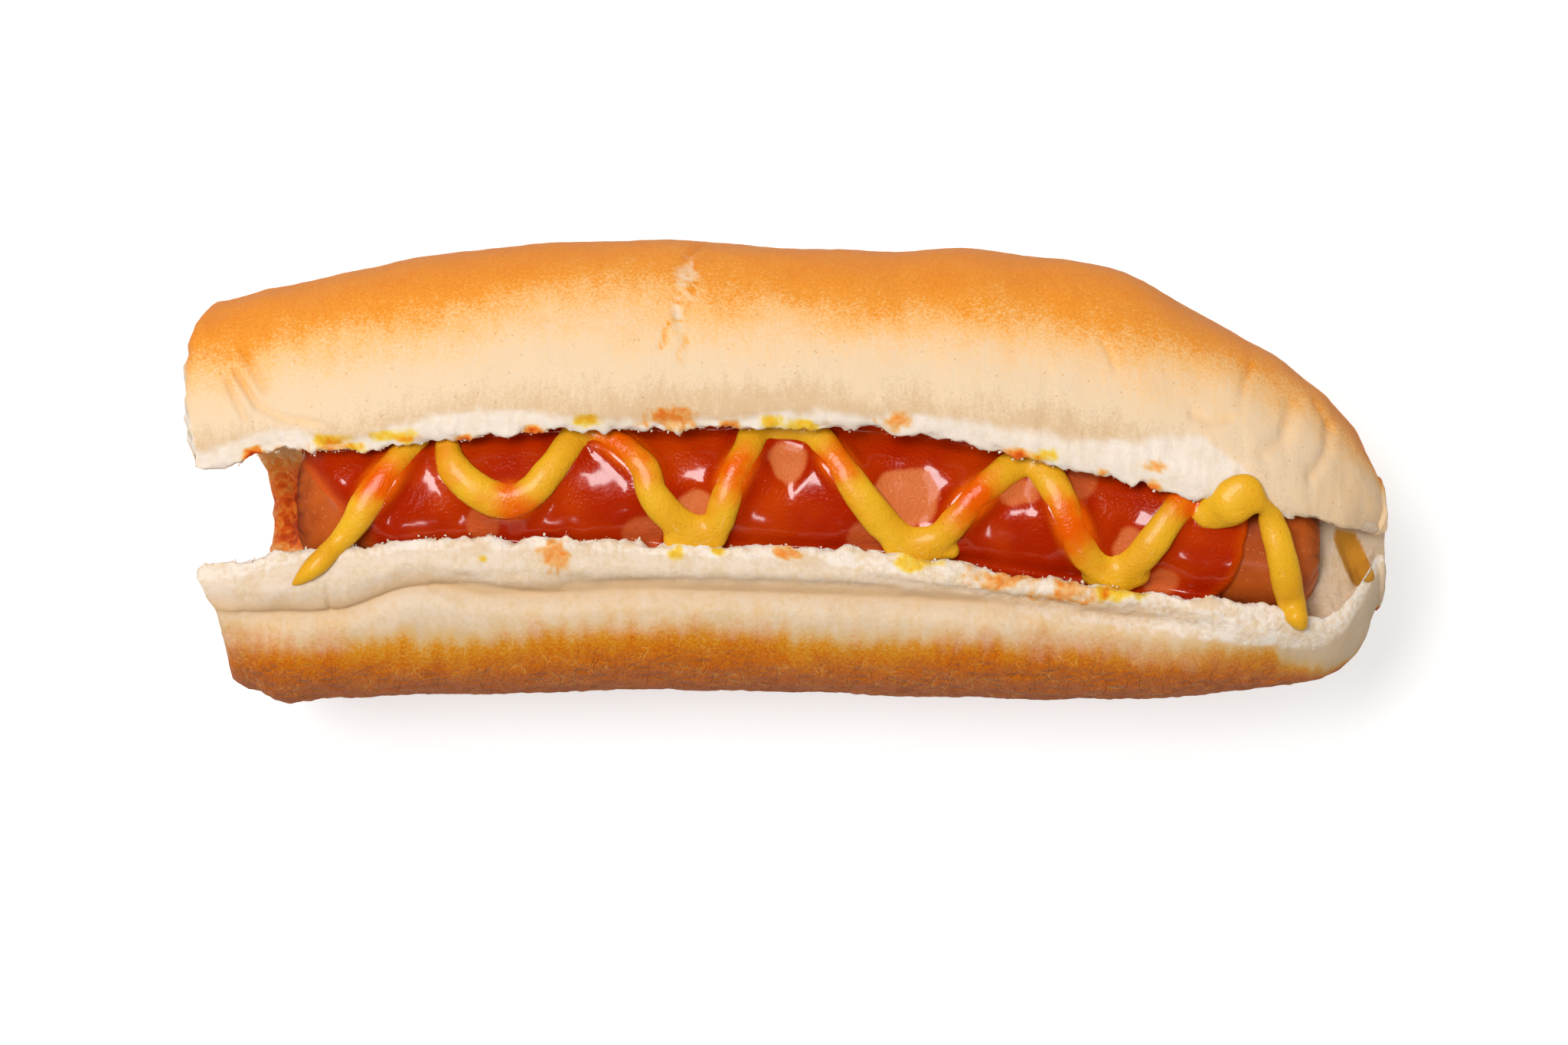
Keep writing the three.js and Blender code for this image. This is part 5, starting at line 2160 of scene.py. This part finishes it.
MUSTARD_STROKES = (
    Stroke((
        (-65.9, -15.1, 0.4, 0.0), (-63.8, -13.5, 1.3, 0.0), (-61.6, -11.4, 1.55, 0.0),
        (-60.0, -9.6, 1.5, 0.0), (-58.2, -7.6, 1.8, 0.0), (-56.4, -4.8, 2.2, 0.35),
        (-54.2, -1.6, 2.15, 0.9), (-51.8, 1.6, 1.9, 0.5), (-50.0, 4.2, 2.0, 0.0),
    )),
    Stroke((
        (-45.6, 3.2, 1.6, 0.3), (-44.9, 0.5, 2.1, 0.3), (-42.9, -1.8, 2.3, 0.1), (-39.9, -3.7, 2.4, 0.3),
        (-36.8, -4.1, 2.4, 0.75), (-34.2, -2.8, 2.2, 0.3), (-31.9, -0.2, 2.1, 0.0), (-29.6, 2.9, 2.0, 0.0),
        (-28.0, 5.2, 1.8, 0.0),
    )),
    Stroke((
        (-28.0, 5.2, 1.8, 0.0), (-25.4, 4.6, 1.5, 0.6), (-22.4, 3.2, 1.8, 0.9), (-19.4, 0.2, 2.0, 0.45),
        (-18.2, -3.2, 2.1, 0.0), (-15.6, -6.4, 2.2, 0.0), (-12.4, -8.6, 2.0, 0.0),
    )),
    Stroke((
        (-12.4, -8.6, 2.0, 0.0), (-9.8, -7.4, 2.0, 0.0), (-8.7, -4.4, 2.1, 0.3), (-7.6, -1.2, 2.0, 0.85),
        (-5.8, 2.2, 2.0, 0.5), (-4.4, 5.0, 2.0, 0.0), (-0.6, 5.2, 1.5, 0.0), (3.4, 4.6, 1.9, 0.0),
        (6.0, 1.4, 2.0, 0.8), (8.8, -2.4, 2.2, 0.2), (11.4, -6.0, 2.3, 0.0), (14.4, -8.8, 2.2, 0.0),
        (17.4, -9.9, 1.9, 0.0),
    )),
    Stroke((
        (17.4, -9.9, 1.9, 0.0), (20.6, -8.4, 2.0, 0.1), (22.6, -6.0, 2.1, 0.6), (24.6, -3.8, 2.0, 0.95),
        (27.0, -1.6, 2.1, 0.5), (29.6, 0.4, 2.1, 0.0), (32.4, 1.2, 2.1, 0.0), (34.6, -1.4, 2.2, 0.1),
        (36.2, -4.4, 2.2, 0.55), (37.8, -8.0, 2.2, 0.9), (39.6, -11.4, 2.2, 0.4), (43.2, -14.0, 2.0, 0.0),
    )),
    Stroke((
        (43.2, -14.0, 2.0, 0.0), (46.2, -12.2, 2.2, 0.0), (48.6, -9.2, 2.2, 0.0), (50.8, -6.2, 2.0, 0.2),
        (52.4, -4.2, 1.9, 0.9), (53.6, -3.2, 1.4, 0.9),
    )),
    Stroke((
        (62.2, -4.3, 1.0, 0.0), (63.2, -5.1, 1.1, 0.0), (63.8, -5.9, 1.1, 0.0),
    ), half_height=0.85, over_dome=True),
    Stroke((
        (64.0, -6.6, 1.7, 0.0), (64.8, -9.2, 2.0, 0.0), (65.6, -12.6, 2.05, 0.0), (66.6, -16.2, 2.05, 0.0),
        (67.1, -18.0, 1.9, 0.0), (67.6, -19.5, 1.5, 0.0), (68.3, -20.6, 0.9, 0.0),
    )),
    Stroke((
        (-15.4, -9.6, 1.4, 0.0), (-12.5, -9.0, 1.7, 0.0), (-10.0, -9.5, 1.4, 0.0),
    ), half_height=0.9),
    Stroke((
        (14.2, -10.5, 1.5, 0.0), (17.4, -10.6, 1.7, 0.0), (21.4, -10.6, 1.3, 0.0),
    ), half_height=0.9),
    Stroke((
        (40.6, -13.8, 1.6, 0.0), (43.6, -14.6, 1.8, 0.0), (46.4, -13.8, 1.7, 0.0),
    ), half_height=0.9),
    Stroke((
        (55.6, -6.1, 1.8, 0.0), (57.0, -5.4, 2.6, 0.0), (58.8, -4.3, 3.0, 0.0), (60.3, -3.1, 2.5, 0.0),
        (61.3, -3.0, 1.5, 0.0),
    ), half_height=1.1, over_dome=True),
)


def dress(made: bpy.types.Object, slot: str, node: str) -> None:
    """Fasten a piece to the body, hide the solid that it replaces, and log it.

    Args:
        made: The piece.
        slot: The name of its material slot, which is only logged.
        node: The solid that it replaces.
    """
    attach(made, BODY)
    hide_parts(node)
    log.info("%s: %d vertices, slot %s, for node %s", made.name, len(made.data.vertices), slot, node)


def main() -> None:
    """Build every piece in order, then the studio."""
    bun = Bun()
    dress(bun.build(), "bread", "bun")
    dress(Crumbs(bun.lips).build(), "bread", "bun")
    dress(Sausage().build(), "sausage", "sausage")
    dress(Ketchup(MUSTARD_STROKES).build(), "ketchup", "sausage")
    dress(Drizzle("mustard_drizzle", Sauce.MUSTARD, MUSTARD_STROKES).build(), "mustard", "sausage")
    Studio().build()


if __name__ == "__main__":
    logging.basicConfig(level=logging.INFO, format="%(name)s %(message)s")
    main()
